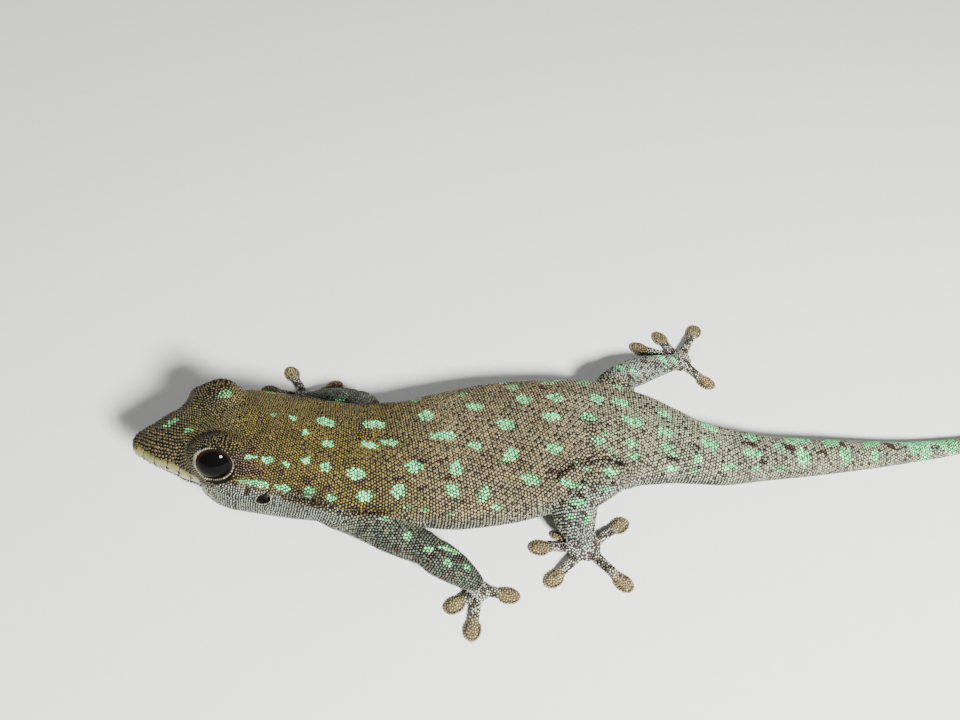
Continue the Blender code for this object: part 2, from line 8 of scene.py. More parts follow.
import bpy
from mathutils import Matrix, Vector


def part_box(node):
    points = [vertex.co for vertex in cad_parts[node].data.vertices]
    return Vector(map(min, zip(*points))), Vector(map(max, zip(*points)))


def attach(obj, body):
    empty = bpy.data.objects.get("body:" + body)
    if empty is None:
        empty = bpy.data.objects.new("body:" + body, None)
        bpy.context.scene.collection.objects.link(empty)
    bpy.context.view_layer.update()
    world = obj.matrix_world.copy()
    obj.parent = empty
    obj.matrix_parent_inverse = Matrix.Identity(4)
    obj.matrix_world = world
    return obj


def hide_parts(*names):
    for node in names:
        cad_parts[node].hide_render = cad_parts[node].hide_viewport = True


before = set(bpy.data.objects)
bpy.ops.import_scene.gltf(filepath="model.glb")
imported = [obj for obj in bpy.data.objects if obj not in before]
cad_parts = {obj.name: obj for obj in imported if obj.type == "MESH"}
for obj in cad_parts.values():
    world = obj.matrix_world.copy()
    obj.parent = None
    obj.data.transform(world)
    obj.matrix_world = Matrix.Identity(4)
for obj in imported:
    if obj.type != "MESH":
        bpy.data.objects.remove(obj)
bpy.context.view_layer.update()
print("nodes:", len(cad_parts))

# %% [markdown]
# Everything is measured in millimetres and turned to metres when a mesh is made. The
# gecko is too small for Blender's usual merge distances, so those are given each time.

# %% Units and helpers
import math

import bmesh
import bpy
import numpy as np
from mathutils import Matrix, Vector
from mathutils.bvhtree import BVHTree
from mathutils.kdtree import KDTree

MM = 0.001
dice = np.random.default_rng(7)


def smoothstep(low, high, value):
    """0 below low, 1 above high and an even S between them; low may be the larger."""
    t = np.clip((np.asarray(value, float) - low) / (high - low), 0.0, 1.0)
    return t * t * (3 - 2 * t)


def unit(vectors):
    """Vectors of length 1, along the last axis."""
    return vectors / np.maximum(np.linalg.norm(vectors, axis=-1, keepdims=True), 1e-12)


def array_of(mesh, what="co"):
    """Coordinates or normals of a mesh's corners."""
    found = np.zeros(len(mesh.vertices) * 3, np.float32)
    mesh.vertices.foreach_get(what, found)
    return found.reshape(-1, 3).astype(float)


def mesh_of(bm, name):
    """A new mesh from a bmesh, which is freed."""
    made = bpy.data.meshes.new(name)
    bm.to_mesh(made)
    bm.free()
    return made


def set_values(mesh, name, values):
    """Gives each corner of a mesh a number under a name."""
    layer = mesh.attributes.new(name, "FLOAT", "POINT")
    layer.data.foreach_set("value", np.asarray(values).astype(np.float32))


def new_object(name, data):
    made = bpy.data.objects.new(name, data)
    bpy.context.scene.collection.objects.link(made)
    return made


print("the tables are in units of", MM, "m")

# %% [markdown]
# The body is a tube whose middle line and section change from snout to tail tip. On a
# real gecko the section is nearly round at the neck, flat and wide at the belly, and
# round again along the tail. These are the same stations that the solids were made
# from, so that skin, scales and markings can all be laid out along the animal.

# %% Stations of the body
# x, y, z of the middle, half width, rise above it, drop below it, squareness of the back
# and of the belly, where 2 is an ellipse
BODY = (
    (-38.05, -3.05, 10.80, 0.15, 0.15, 0.15, 2.0, 2.2),
    (-37.70, -3.02, 10.80, 0.95, 0.70, 0.65, 2.0, 2.2),
    (-36.50, -2.90, 10.80, 1.95, 1.30, 1.40, 2.0, 2.4),
    (-35.00, -2.75, 10.75, 2.85, 1.90, 2.20, 1.9, 2.7),
    (-32.80, -2.30, 10.65, 4.25, 2.65, 3.85, 1.9, 3.0),
    (-30.00, -1.80, 10.50, 5.50, 3.35, 5.05, 1.9, 3.2),
    (-26.50, -2.00, 10.00, 6.70, 3.70, 5.25, 1.9, 3.2),
    (-22.50, -2.55, 9.20, 7.15, 3.60, 5.10, 1.9, 3.0),
    (-18.50, -2.85, 8.10, 7.15, 3.85, 4.75, 2.0, 2.7),
    (-14.50, -2.80, 6.90, 7.10, 4.20, 4.30, 2.1, 2.5),
    (-9.50, -2.00, 5.80, 7.60, 4.30, 4.20, 2.15, 2.5),
    (-4.00, -1.00, 4.95, 8.85, 4.25, 4.10, 2.15, 2.5),
    (2.00, 0.50, 4.40, 9.30, 4.20, 3.85, 2.15, 2.5),
    (8.00, 1.95, 4.15, 8.75, 4.00, 3.60, 2.15, 2.5),
    (13.00, 2.95, 4.00, 7.65, 3.75, 3.40, 2.15, 2.5),
    (18.00, 2.75, 3.70, 6.50, 3.40, 3.20, 2.15, 2.5),
    (22.00, 2.00, 3.45, 5.10, 3.20, 3.10, 2.1, 2.4),
    (25.50, 1.25, 3.10, 4.05, 2.90, 2.90, 2.05, 2.3),
    (29.00, 0.85, 2.80, 3.60, 2.70, 2.81, 2.0, 2.2),
    (35.00, 0.95, 2.27, 2.65, 2.22, 2.29, 2.0, 2.2),
    (43.00, 1.55, 1.75, 2.03, 1.70, 1.77, 2.0, 2.2),
    (52.00, 2.50, 1.17, 1.30, 1.12, 1.19, 2.0, 2.2),
    (61.00, 4.10, 0.76, 0.84, 0.74, 0.78, 2.0, 2.2),
    (69.00, 6.25, 0.47, 0.53, 0.46, 0.49, 2.0, 2.2),
    (73.00, 7.70, 0.34, 0.37, 0.33, 0.36, 2.0, 2.2),
)
SNOUT, TAIL_TIP = BODY[0][0], BODY[-1][0]
HEAD_END = -20.6
TAIL_START = 19.5

# The head is turned to the right, and each eye sits in a dome of skin
HEAD_TURN = 11.0
EYE = (-28.55, 3.55, 1.75)
EYE_TURN_UP = 25.0
EYE_TURN_FORWARD = 6.0
ORBIT = (3.6, 2.45, 3.05)
ORBIT_BACK = 0.25
ORBIT_SOFTNESS = 0.10

# Soft presses on each side of the head at x, sideways, up: reach, inward, upward
LORE_PRESS = (-33.0, 3.9, 0.9, 1.4, 0.4, -0.1)
BROW_PRESS = (-27.9, 4.6, 3.9, 1.8, -0.25, 0.3)
CROWN_DIP = (-28.9, 0.0, 3.4, 1.4, 0.0, -0.3)
JOWL_PRESS = (-28.6, 6.2, -2.2, 2.2, -0.55, -0.1)


def smooth_curve(knots, values, at):
    """Values at the given places on a cubic through the knots that never swings past them."""
    knots, values = np.asarray(knots, float), np.asarray(values, float)
    steps = np.diff(knots)
    slopes = np.diff(values) / steps
    tangents = np.zeros_like(values)
    tangents[0], tangents[-1] = slopes[0], slopes[-1]
    same_way = slopes[:-1] * slopes[1:] > 0
    near, far = np.where(same_way, slopes[:-1], 1.0), np.where(same_way, slopes[1:], 1.0)
    before, after = steps[:-1], steps[1:]
    mean = 3 * (before + after) / ((2 * after + before) / near + (after + 2 * before) / far)
    tangents[1:-1] = np.where(same_way, mean, 0.0)
    place = np.clip(np.searchsorted(knots, at) - 1, 0, len(steps) - 1)
    t = (at - knots[place]) / steps[place]
    rise, fall = tangents[place] * steps[place], tangents[place + 1] * steps[place]
    return (
        values[place] * (2 * t**3 - 3 * t**2 + 1)
        + rise * (t**3 - 2 * t**2 + t)
        + values[place + 1] * (3 * t**2 - 2 * t**3)
        + fall * (t**3 - t**2)
    )


def on_curve(pairs, at):
    """Values at the given places on a smooth curve through pairs of place and value."""
    return smooth_curve(*zip(*pairs), np.atleast_1d(at))


def stations_at(table, knots, at):
    """Every column of a table of stations, at the given places."""
    return [smooth_curve(knots, column, at) for column in np.array(table, float).T]


def body_at(x):
    """y, z, half width, rise, drop and both squarenesses of the body at x."""
    x = np.clip(np.atleast_1d(np.asarray(x, float)), SNOUT, TAIL_TIP)
    return stations_at([row[1:] for row in BODY], [row[0] for row in BODY], x)


def middle_of(x):
    """Points on the middle line of the body at x."""
    x = np.atleast_1d(np.asarray(x, float))
    y, z = body_at(x)[:2]
    return np.stack([x, y, z], 1)


def beside_head(x, sideways, up):
    """A point of the turned head: x, distance to the animal's left, height over its middle."""
    turn = math.radians(HEAD_TURN)
    return middle_of(x)[0] + np.array((sideways * math.sin(turn), -sideways * math.cos(turn), up))


def across_and_up(x):
    """Directions across the body and up from its middle line at x."""
    forward = unit(middle_of(x + 0.1) - middle_of(x - 0.1))
    across = unit(np.cross(forward, (0.0, 0.0, 1.0)))
    return across, np.cross(across, forward)


print("body from", SNOUT, "to", TAIL_TIP, "mm; widest", max(row[3] for row in BODY) * 2, "mm")

# %% [markdown]
# A section is a squared-off ellipse: raising the sine and cosine of a turn to a power
# below one makes it boxier. The head then swells over the eyeballs, as the thin skin of
# a gecko does, and sinks a little in front of the eyes and between the brows.

# %% Rings round the body
def swell(points, centre, radii, softness):
    """Pushes points out of an egg, so that they lie on it or beyond."""
    away = (points - centre) / radii
    distance = np.linalg.norm(away, axis=-1, keepdims=True)
    reach = distance + softness * np.log1p(np.exp((1.0 - distance) / softness))
    return centre + away / distance * reach * radii


def press(points, centre, reach, push):
    """Moves points near a centre by a push that fades out over the reach."""
    nearness = np.exp(-((np.linalg.norm(points - centre, axis=-1, keepdims=True) / reach) ** 2))
    return points + nearness * np.asarray(push, float)


def sculpt_head(points):
    for side in (1, -1):
        dome = beside_head(EYE[0] + ORBIT_BACK, side * EYE[1], EYE[2])
        points = swell(points, dome, np.array(ORBIT), ORBIT_SOFTNESS)
        for x, sideways, up, reach, inward, lift in (LORE_PRESS, BROW_PRESS, JOWL_PRESS):
            centre = beside_head(x, side * sideways, up)
            points = press(points, centre, reach, (0.0, side * inward, lift))
    x, sideways, up, reach, inward, lift = CROWN_DIP
    return press(points, beside_head(x, sideways, up), reach, (0.0, inward, lift))


def body_rings(x, sides, grown=0.0):
    """Rings of points round the body at each x, from the middle of the back round the left."""
    x = np.asarray(x, float)
    y, z, width, rise, drop, back, belly = body_at(x)
    across, up = across_and_up(x)
    turns = np.linspace(0, 2 * math.pi, sides, endpoint=False) + math.pi / 2
    cosine, sine = np.cos(turns)[None, :], np.sin(turns)[None, :]
    upper = sine > 0
    power = 2.0 / np.where(upper, back[:, None], belly[:, None])
    sideways = np.sign(cosine) * np.abs(cosine) ** power * (width + grown)[:, None]
    reach = np.where(upper, (rise + grown)[:, None], (drop + grown)[:, None])
    lifted = np.sign(sine) * np.abs(sine) ** power * reach
    middle = np.stack([x, y, z], 1)[:, None]
    rings = middle + sideways[..., None] * across[:, None] + lifted[..., None] * up[:, None]
    return sculpt_head(rings)


waist = body_rings(np.array([0.0]), 300)[0]
print("girth behind the arms:", round(np.linalg.norm(np.diff(waist, axis=0), axis=1).sum()), "mm")

# %% [markdown]
# The limbs were built as an upper and a lower length that share the elbow or the knee.
# Here their middle lines guide the rows of scales. Each toe is known by the middle of
# its pad, from the short inner first toe to the fifth.

# %% Limbs and toes
# x, y, z of the middle line, half width, half height
LIMBS = {
    "arm_left": (
        ((-16.4, -7.6, 5.2, 2.3, 2.1), (-12.9, -9.0, 5.4, 2.35, 2.15), (-8.9, -11.1, 5.0, 2.15, 1.95),
         (-6.0, -12.3, 4.7, 1.9, 1.75)),
        ((-6.6, -12.0, 4.8, 1.7, 1.55), (-4.6, -13.1, 4.1, 2.0, 1.8), (-2.4, -14.1, 3.1, 1.75, 1.5),
         (-0.9, -14.8, 2.1, 1.25, 1.1), (-0.1, -15.3, 1.2, 1.0, 0.8)),
    ),
    "arm_right": (
        ((-13.2, 0.8, 6.4, 1.9, 1.9), (-13.3, 4.4, 5.7, 1.95, 1.9), (-14.0, 6.6, 4.8, 1.85, 1.8),
         (-14.6, 7.4, 4.4, 1.7, 1.6)),
        ((-14.2, 7.3, 4.5, 1.5, 1.45), (-16.4, 8.2, 3.7, 1.8, 1.7), (-19.2, 9.3, 2.6, 1.5, 1.35),
         (-21.0, 10.2, 1.7, 1.1, 0.95), (-22.0, 10.9, 1.1, 0.95, 0.75)),
    ),
    "leg_left": (
        ((17.4, 0.2, 4.3, 2.7, 2.2), (14.6, -2.4, 4.6, 2.85, 2.35), (12.2, -4.6, 4.7, 2.6, 2.15),
         (10.9, -5.7, 4.5, 2.2, 1.9)),
        ((10.4, -5.3, 4.6, 1.95, 1.8), (10.6, -7.2, 3.7, 2.6, 2.1), (11.1, -8.9, 2.4, 2.0, 1.65),
         (11.8, -9.7, 1.5, 1.35, 1.1), (12.0, -10.2, 1.0, 1.05, 0.8)),
    ),
    "leg_right": (
        ((16.6, 4.4, 4.1, 2.4, 2.05), (16.2, 7.8, 4.3, 2.65, 2.2), (16.7, 10.2, 4.1, 2.45, 2.05),
         (17.4, 11.4, 3.9, 2.15, 1.85)),
        ((17.0, 11.2, 4.0, 1.7, 1.6), (19.4, 13.2, 3.2, 1.95, 1.7), (22.4, 14.9, 2.4, 1.55, 1.35),
         (24.8, 16.2, 1.6, 1.2, 1.0), (26.2, 17.2, 1.0, 1.05, 0.75)),
    ),
}
TOES = {
    "arm_left": ((-1.7, -14.5), (-2.7, -16.8), (-0.8, -19.6), (3.1, -15.7), (-2.3, -12.2)),
    "arm_right": ((-22.6, 8.9), (-26.0, 9.3), (-26.9, 12.5), (-24.5, 15.4), (-18.9, 13.2)),
    "leg_left": ((8.6, -8.3), (6.8, -9.9), (8.2, -13.7), (15.8, -14.2), (16.0, -7.1)),
    "leg_right": ((24.4, 16.6), (21.3, 19.8), (24.3, 21.5), (29.0, 22.7), (29.3, 14.0)),
}
PAD_LENGTH = 2.5
PAD_WIDTH = 1.75


def limb_rings(stations, sides, share):
    """Rings round a limb at shares of its length, from its upper side round."""
    table = np.array(stations, float)
    lengths = np.linalg.norm(np.diff(table[:, :3], axis=0), axis=1)
    knots = np.concatenate([[0.0], np.cumsum(lengths)]) / lengths.sum()
    x, y, z, width, height = stations_at(stations, knots, share)
    middle = np.stack([x, y, z], 1)
    forward = unit(np.gradient(middle, axis=0))
    across = unit(np.cross(forward, (0.0, 0.0, 1.0)))
    up = np.cross(across, forward)
    turns = np.linspace(0, 2 * math.pi, sides, endpoint=False) + math.pi / 2
    wide = np.cos(turns)[None, :] * width[:, None]
    high = np.sin(turns)[None, :] * height[:, None]
    return middle[:, None] + wide[..., None] * across[:, None] + high[..., None] * up[:, None]


print("toes:", sum(len(pads) for pads in TOES.values()))

# %% [markdown]
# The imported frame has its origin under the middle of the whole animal, while the tables
# are measured from a point under the chest. The left eyeball is in both, so the shift
# between them is read from its box.

# %% From the tables to the frame
low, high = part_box("eye_left")
shift = beside_head(*EYE) - np.array((low + high) / 2) / MM
shift[2] = 0.0


def in_frame(points):
    """Table millimetres to frame metres."""
    return (np.asarray(points, float) - shift) * MM


def in_table(points):
    """Frame metres to table millimetres."""
    return np.asarray(points, float) / MM + shift


def set_points(mesh, points):
    """Moves a mesh's corners to points in table millimetres."""
    mesh.vertices.foreach_set("co", in_frame(points).astype(np.float32).ravel())
    mesh.update()


print("shift in mm:", shift.round(3))

# %% [markdown]
# The photo was taken from close by with the camera looking down on the back at about
# fifty degrees. The camera comes first because the markings are placed through it.

# %% Camera
CAMERA_PLACE = (0.0, -60.42, 93.46)
CAMERA_LOOK_DOWN = 50.0
FOCAL_PIXELS = 920.0
PHOTO_WIDTH, PHOTO_HEIGHT = 960, 720
SENSOR = 36.0

camera = new_object("camera", bpy.data.cameras.new("camera"))
camera.data.sensor_width = SENSOR
camera.data.lens = FOCAL_PIXELS / PHOTO_WIDTH * SENSOR
camera.data.clip_start = 0.001
camera.data.clip_end = 5.0
camera.location = in_frame(CAMERA_PLACE)
camera.rotation_euler = (math.radians(90 - CAMERA_LOOK_DOWN), 0.0, 0.0)
bpy.context.scene.camera = camera


def sight_line(u, v):
    """Direction from the camera through a pixel of the photo."""
    aim = Vector(((u - PHOTO_WIDTH / 2) / FOCAL_PIXELS, (PHOTO_HEIGHT / 2 - v) / FOCAL_PIXELS, -1))
    return np.array(Matrix.Rotation(math.radians(90 - CAMERA_LOOK_DOWN), 3, "X") @ aim)


print("lens:", round(camera.data.lens, 1), "mm")

# %% [markdown]
# Skin on a real gecko is one sheet from lips to toes. The body is lofted from the rings
# as a grid rolled into a tube. The limbs and feet are copies of the solids. All are
# grown until they touch, fused by a voxel remesh, smoothed, and shrunk back by the same
# amount, which closes the thin gaps between the solids and leaves soft creases where a
# limb leaves the body. This is quicker and smoother than cutting and stitching.

# %% Roll a grid into a tube
# Points closer than this, in metres, are one
MERGED_WITHIN = 1e-7


def tube(rings):
    """A closed bmesh over rings of points: a grid rolled up, with its ends filled."""
    count, sides = rings.shape[:2]
    bm = bmesh.new()
    bmesh.ops.create_grid(bm, x_segments=count - 1, y_segments=sides, size=1.0)
    mesh = mesh_of(bm, "tube")
    flat = array_of(mesh)
    along = np.rint((flat[:, 0] + 1) / 2 * (count - 1)).astype(int)
    round_it = np.rint((flat[:, 1] + 1) / 2 * sides).astype(int) % sides
    set_points(mesh, rings[along, round_it])
    bm = bmesh.new()
    bm.from_mesh(mesh)
    bpy.data.meshes.remove(mesh)
    bmesh.ops.remove_doubles(bm, verts=bm.verts, dist=MERGED_WITHIN)
    bmesh.ops.holes_fill(bm, edges=bm.edges, sides=0)
    bmesh.ops.recalc_face_normals(bm, faces=bm.faces)
    return bm


# All flesh is grown by this, and the skin is shrunk by it and by the coat's thickness
GROWN = 0.17
COAT_DEPTH = 0.09
TUBE_RINGS, TUBE_SIDES = 460, 120
# More rings near the snout than near the tail's tip
TUBE_CROWDING = 1.15

x = SNOUT + (TAIL_TIP - SNOUT) * np.linspace(0, 1, TUBE_RINGS) ** TUBE_CROWDING
rings = body_rings(x, TUBE_SIDES, GROWN)
rings[..., 2] = np.maximum(rings[..., 2], -GROWN)
fused = tube(rings)
print("body tube:", len(fused.faces), "faces")

# %% Add the limbs and fuse everything into one skin
LIMB_NODES = [
    name
    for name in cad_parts
    if name.startswith(("arm", "forearm", "hand", "thigh", "shin", "foot"))
]
FLESH_NODES = [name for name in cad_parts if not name.startswith("eye")]
VOXEL = 0.17
# Sharp corners are pushed out further than flat faces, up to this much
SHELL_LIMIT = 1.5

for name in LIMB_NODES:
    grown = bmesh.new()
    grown.from_mesh(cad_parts[name].data)
    bmesh.ops.remove_doubles(grown, verts=grown.verts, dist=MERGED_WITHIN)
    grown.normal_update()
    for vert in grown.verts:
        vert.co += vert.normal * GROWN * MM * min(SHELL_LIMIT, vert.calc_shell_factor())
    swap = mesh_of(grown, name + "_grown")
    fused.from_mesh(swap)
    bpy.data.meshes.remove(swap)


def with_modifiers(made, *settings):
    """Gives an object modifiers, one dict each, and applies them all."""
    for values in settings:
        kind = values.pop("type")
        modifier = made.modifiers.new(kind.title(), kind)
        for key, value in values.items():
            setattr(modifier, key, value)
    graph = bpy.context.evaluated_depsgraph_get()
    done = bpy.data.meshes.new_from_object(made.evaluated_get(graph))
    made.modifiers.clear()
    old, made.data = made.data, done
    bpy.data.meshes.remove(old)
    made.data.name = made.name
    return made


skin = new_object("skin", mesh_of(fused, "skin"))
with_modifiers(
    skin,
    dict(type="REMESH", mode="VOXEL", voxel_size=VOXEL * MM),
    dict(type="SMOOTH", factor=0.5, iterations=4),
    dict(type="DISPLACE", strength=-(GROWN + COAT_DEPTH) * MM, mid_level=0.0),
)
print("skin:", len(skin.data.polygons), "faces after the remesh")

# %% [markdown]
# The openings of the head are pushed into the skin, as a sculptor would, rather than
# cut: a hollow for each eyeball with a raised rim of lid, an ear pit, and a nostril. A
# fold runs from the ear to the shoulder, where loose skin of the throat meets the neck,
# and another one where the left thigh meets the flank. In front of the left shoulder
# the skin is smoothed first, because a real shoulder joins the neck in a soft web.

# %% Sculpt the eye hollows, ears, nostrils and folds
# Half width of the opening between the lids, and half width of the eyeball behind it
EYE_OPENING = 1.98
EYE_SPHERE = 2.75
EYE_SUNK = 0.22
# The hollow is this much deeper than the ball, and only skin this far out moves
EYE_CLEARANCE = 0.15
EYE_FRONT = 0.6
# The lid is a round rim: its height, its distance outside the opening and its half width
LID_RISE, LID_OUT, LID_HALF = 0.12, 0.3, 0.26
# x and height over the middle line, then half sizes, depth and tilt in degrees
EAR = (-22.3, 0.65)
EAR_HALF = (0.75, 0.5)
EAR_DEPTH = 1.0
EAR_TILT = 20.0
EAR_RIM = 0.08
NOSTRIL = (-36.7, 0.85)
NOSTRIL_HALF = 0.17
NOSTRIL_DEPTH = 0.35
# Pixels of the photo along the folds and at the web of skin before the shoulder
NECK_FOLD = (
    (276, 491), (293, 496), (311, 499), (326, 505), (341, 511), (356, 511), (382, 511), (411, 512),
)
THIGH_FOLD = ((551, 486), (560, 472), (574, 463), (600, 458), (618, 463), (633, 475))
SHOULDER_WEB = (324, 524)
WEB_REACH = 2.4
WEB_ROUNDS = 120
# A fold has no scales this near its line, and scales darkened by painted shade from there to the shade's
# reach
FOLD_DEPTH = 0.8
FOLD_WIDTH = 0.25
FOLD_BARE = 0.25
FOLD_SHADE = (0.34, 0.24)
THIGH_FOLD_SHARE = 0.6
LOWEST_SKIN = 0.02


def eye_axes(side):
    """Columns: forward, up and out of the eye, for the left (1) or right (-1)."""
    forward = math.radians(EYE_TURN_FORWARD - side * HEAD_TURN)
    rise = math.radians(EYE_TURN_UP)
    out = np.array((-math.sin(forward), -side * math.cos(forward), 0.0)) * math.cos(rise)
    out[2] = math.sin(rise)
    up = unit(np.array((0.0, 0.0, 1.0)) - out[2] * out)
    return np.stack([np.cross(up, out), up, out], 1)


def eye_centre(side):
    return beside_head(EYE[0], side * EYE[1], EYE[2])


def on_eye(points, side):
    """Points in an eye's own frame: forward, up, out."""
    return (points - eye_centre(side)) @ eye_axes(side)


def side_point(x, side, up):
    """Where a level line to one side, at this height over the middle, leaves the body."""
    ring = body_rings(np.array([x]), 360)[0]
    centre = middle_of(x)[0]
    outer = (ring[:, 1] - centre[1]) * -side > 0
    return ring[np.where(outer, np.abs(ring[:, 2] - centre[2] - up), np.inf).argmin()]


def tree_of(made):
    """A search tree over an object's faces, in table millimetres."""
    points = in_table(array_of(made.data))
    faces = [tuple(face.vertices) for face in made.data.polygons]
    return BVHTree.FromPolygons([tuple(p) for p in points], faces)


def through_photo(tree, u, v):
    """The point of the animal that a pixel of the photo shows, and its normal."""
    found = tree.ray_cast(Vector(CAMERA_PLACE), Vector(sight_line(u, v)))
    return (None, None) if found[0] is None else (np.array(found[0]), np.array(found[1]))


def distance_to_line(points, line):
    """Distance from each point to a line of points, and the share along it of the nearest one."""
    best, share = np.full(len(points), np.inf), np.zeros(len(points))
    for i, (start, end) in enumerate(zip(line, line[1:])):
        way = end - start
        t = np.clip(((points - start) @ way) / (way @ way), 0, 1)
        distance = np.linalg.norm(points - start - t[:, None] * way, axis=1)
        nearer = distance < best
        best[nearer], share[nearer] = distance[nearer], (i + t[nearer]) / (len(line) - 1)
    return best, share


def ear_reach(points, side):
    """How far points are from the middle of an ear: 1 is its edge."""
    away = points - side_point(EAR[0], side, EAR[1])
    tilt = math.radians(EAR_TILT)
    long_way = away[:, 0] * math.cos(tilt) + away[:, 2] * math.sin(tilt)
    high_way = away[:, 2] * math.cos(tilt) - away[:, 0] * math.sin(tilt)
    on_other_side = np.abs(away[:, 1]) > 1.7
    return np.hypot(long_way / EAR_HALF[0], high_way / EAR_HALF[1]) + 9.0 * on_other_side


def in_fold(points, lines):
    """How near points are to any fold: the distance, which grows towards a fold's ends."""
    nearest = np.full(len(points), np.inf)
    for line in lines:
        distance, share = distance_to_line(points, line)
        ends = smoothstep(0.12, 0.0, share) + smoothstep(0.85, 1.0, share)
        nearest = np.minimum(nearest, distance + 0.4 * ends)
    return nearest


def grooved(points, line, depth):
    """How far a fold along a line presses in the skin, with a low swell on both sides of it."""
    distance, share = distance_to_line(points, line)
    depth = depth * smoothstep(0.0, 0.12, share) * smoothstep(1.0, 0.75, share)
    return depth * (np.exp(-((distance / FOLD_WIDTH) ** 2)) * 1.5 - 0.5 * np.exp(-(distance**2)))


rough = tree_of(skin)
fold, thigh_fold = [
    np.array([through_photo(rough, *pixel)[0] for pixel in line]) for line in (NECK_FOLD, THIGH_FOLD)
]
web, _ = through_photo(rough, *SHOULDER_WEB)
nearness = np.exp(-((np.linalg.norm(in_table(array_of(skin.data)) - web, axis=1) / WEB_REACH) ** 2))
soft = skin.vertex_groups.new(name="web")
for i in np.where(nearness > 0.03)[0]:
    soft.add([int(i)], float(nearness[i]), "REPLACE")
with_modifiers(skin, dict(type="SMOOTH", factor=0.7, iterations=WEB_ROUNDS, vertex_group="web"))
skin.vertex_groups.clear()

points, normals = in_table(array_of(skin.data)), array_of(skin.data, "normal")
fold_lines = [thigh_fold]

for side in (1, -1):
    local = on_eye(points, side)
    radius = np.hypot(local[:, 0], local[:, 1])
    front = local[:, 2] > EYE_FRONT
    floor = np.sqrt(np.maximum(EYE_SPHERE**2 - radius**2, 0.0)) - EYE_SUNK - EYE_CLEARANCE
    inside = smoothstep(EYE_OPENING + 0.12, EYE_OPENING - 0.02, radius) * front
    local[:, 2] -= inside * np.maximum(local[:, 2] - floor, 0.0)
    rim = np.exp(-(((radius - EYE_OPENING - LID_OUT) / LID_HALF) ** 2)) * front
    local[:, 2] += rim * LID_RISE
    points = local @ eye_axes(side).T + eye_centre(side)

    reach = ear_reach(points, side)
    points -= normals * (smoothstep(1.15, 0.55, reach) * EAR_DEPTH)[:, None]
    points += normals * (np.exp(-(((reach - 1.4) / 0.3) ** 2)) * EAR_RIM)[:, None]

    nostril = side_point(NOSTRIL[0], side, NOSTRIL[1])
    reach = np.linalg.norm(points - nostril, axis=1) / NOSTRIL_HALF
    points -= normals * (smoothstep(1.5, 0.4, reach) * NOSTRIL_DEPTH)[:, None]

    mirror = np.array((1.0, side, 1.0))
    middle = middle_of(fold[:, 0])
    line = middle + (fold - middle) * mirror
    points -= normals * grooved(points, line, FOLD_DEPTH)[:, None]
    fold_lines.append(line)
points -= normals * grooved(points, thigh_fold, FOLD_DEPTH * THIGH_FOLD_SHARE)[:, None]

points[:, 2] = np.maximum(points[:, 2], LOWEST_SKIN)
set_points(skin.data, points)
print("hollows sculpted; the neck fold is", round(np.linalg.norm(fold[0] - fold[-1]), 1), "mm long")

# %% [markdown]
# Under scales the skin needs few faces, but the head keeps them all. A weight per vertex
# tells the Decimate modifier which it may merge.

# %% Thin the skin behind the head
SKIN_TRIANGLES = 190000
weights = skin.vertex_groups.new(name="keep")
behind = np.where(in_table(array_of(skin.data))[:, 0] > HEAD_END)[0]
weights.add([int(i) for i in behind], 1.0, "REPLACE")
ratio = SKIN_TRIANGLES / (2 * len(skin.data.polygons))
thinning = dict(type="DECIMATE", ratio=ratio, vertex_group="keep", use_collapse_triangulate=True)
with_modifiers(skin, thinning)
skin.vertex_groups.clear()
skin.data.shade_smooth()
skin_tree = tree_of(skin)
print("skin:", len(skin.data.polygons), "triangles")

# %% [markdown]
# The mouth is a fine dark line between two rows of smooth plates, the labials. The line
# is pressed into the skin here, and the plates come later. It is the same line as the
# gap between the head and the jaw of the solids.

# %% Press in the mouth
MOUTH = ((-41.0, 0.10), (-38.0, 0.05), (-36.5, -0.15), (-35.0, -0.42), (-33.0, -0.95), (-31.0, -1.40),
         (-29.0, -1.65), (-27.3, -1.75))
MOUTH_START, MOUTH_END = -37.72, -27.6
MOUTH_DEPTH = 0.22
MOUTH_WIDTH = 0.1

stops = MOUTH_START + (MOUTH_END - MOUTH_START) * np.linspace(0, 1, 26) ** 1.3
sides_of_mouth = {s: np.array([side_point(x, s, on_curve(MOUTH, x)[0]) for x in stops]) for s in (1, -1)}
mouth = np.vstack([sides_of_mouth[1][::-1], sides_of_mouth[-1]])
mouth_steps = np.concatenate([[0.0], np.cumsum(np.linalg.norm(np.diff(mouth, axis=0), axis=1))])
mouth_middle = mouth_steps[len(stops) - 1 : len(stops) + 1].mean()

points, normals = in_table(array_of(skin.data)), array_of(skin.data, "normal")
distance, share = distance_to_line(points, mouth)
fade = smoothstep(0.0, 0.04, share) * smoothstep(1.0, 0.96, share)
points -= normals * (np.exp(-((distance / MOUTH_WIDTH) ** 2)) * MOUTH_DEPTH * fade)[:, None]
set_points(skin.data, points)
print("mouth:", round(mouth_steps[-1], 1), "mm from corner to corner")

# %% [markdown]
# A gecko's coat is thousands of tiny domed scales, each a bead of hard keratin. One low
# six-sided dome with 19 corners is made by operators, and every scale is a copy of it,
# turned, stretched and set on the skin by numpy, which is the quickest way to place
# thirty thousand of them. Its base is sunk in the skin, so that no gap shows under it.

# %% One scale
SCALE_BASE, SCALE_SHOULDER = -0.6, 0.4

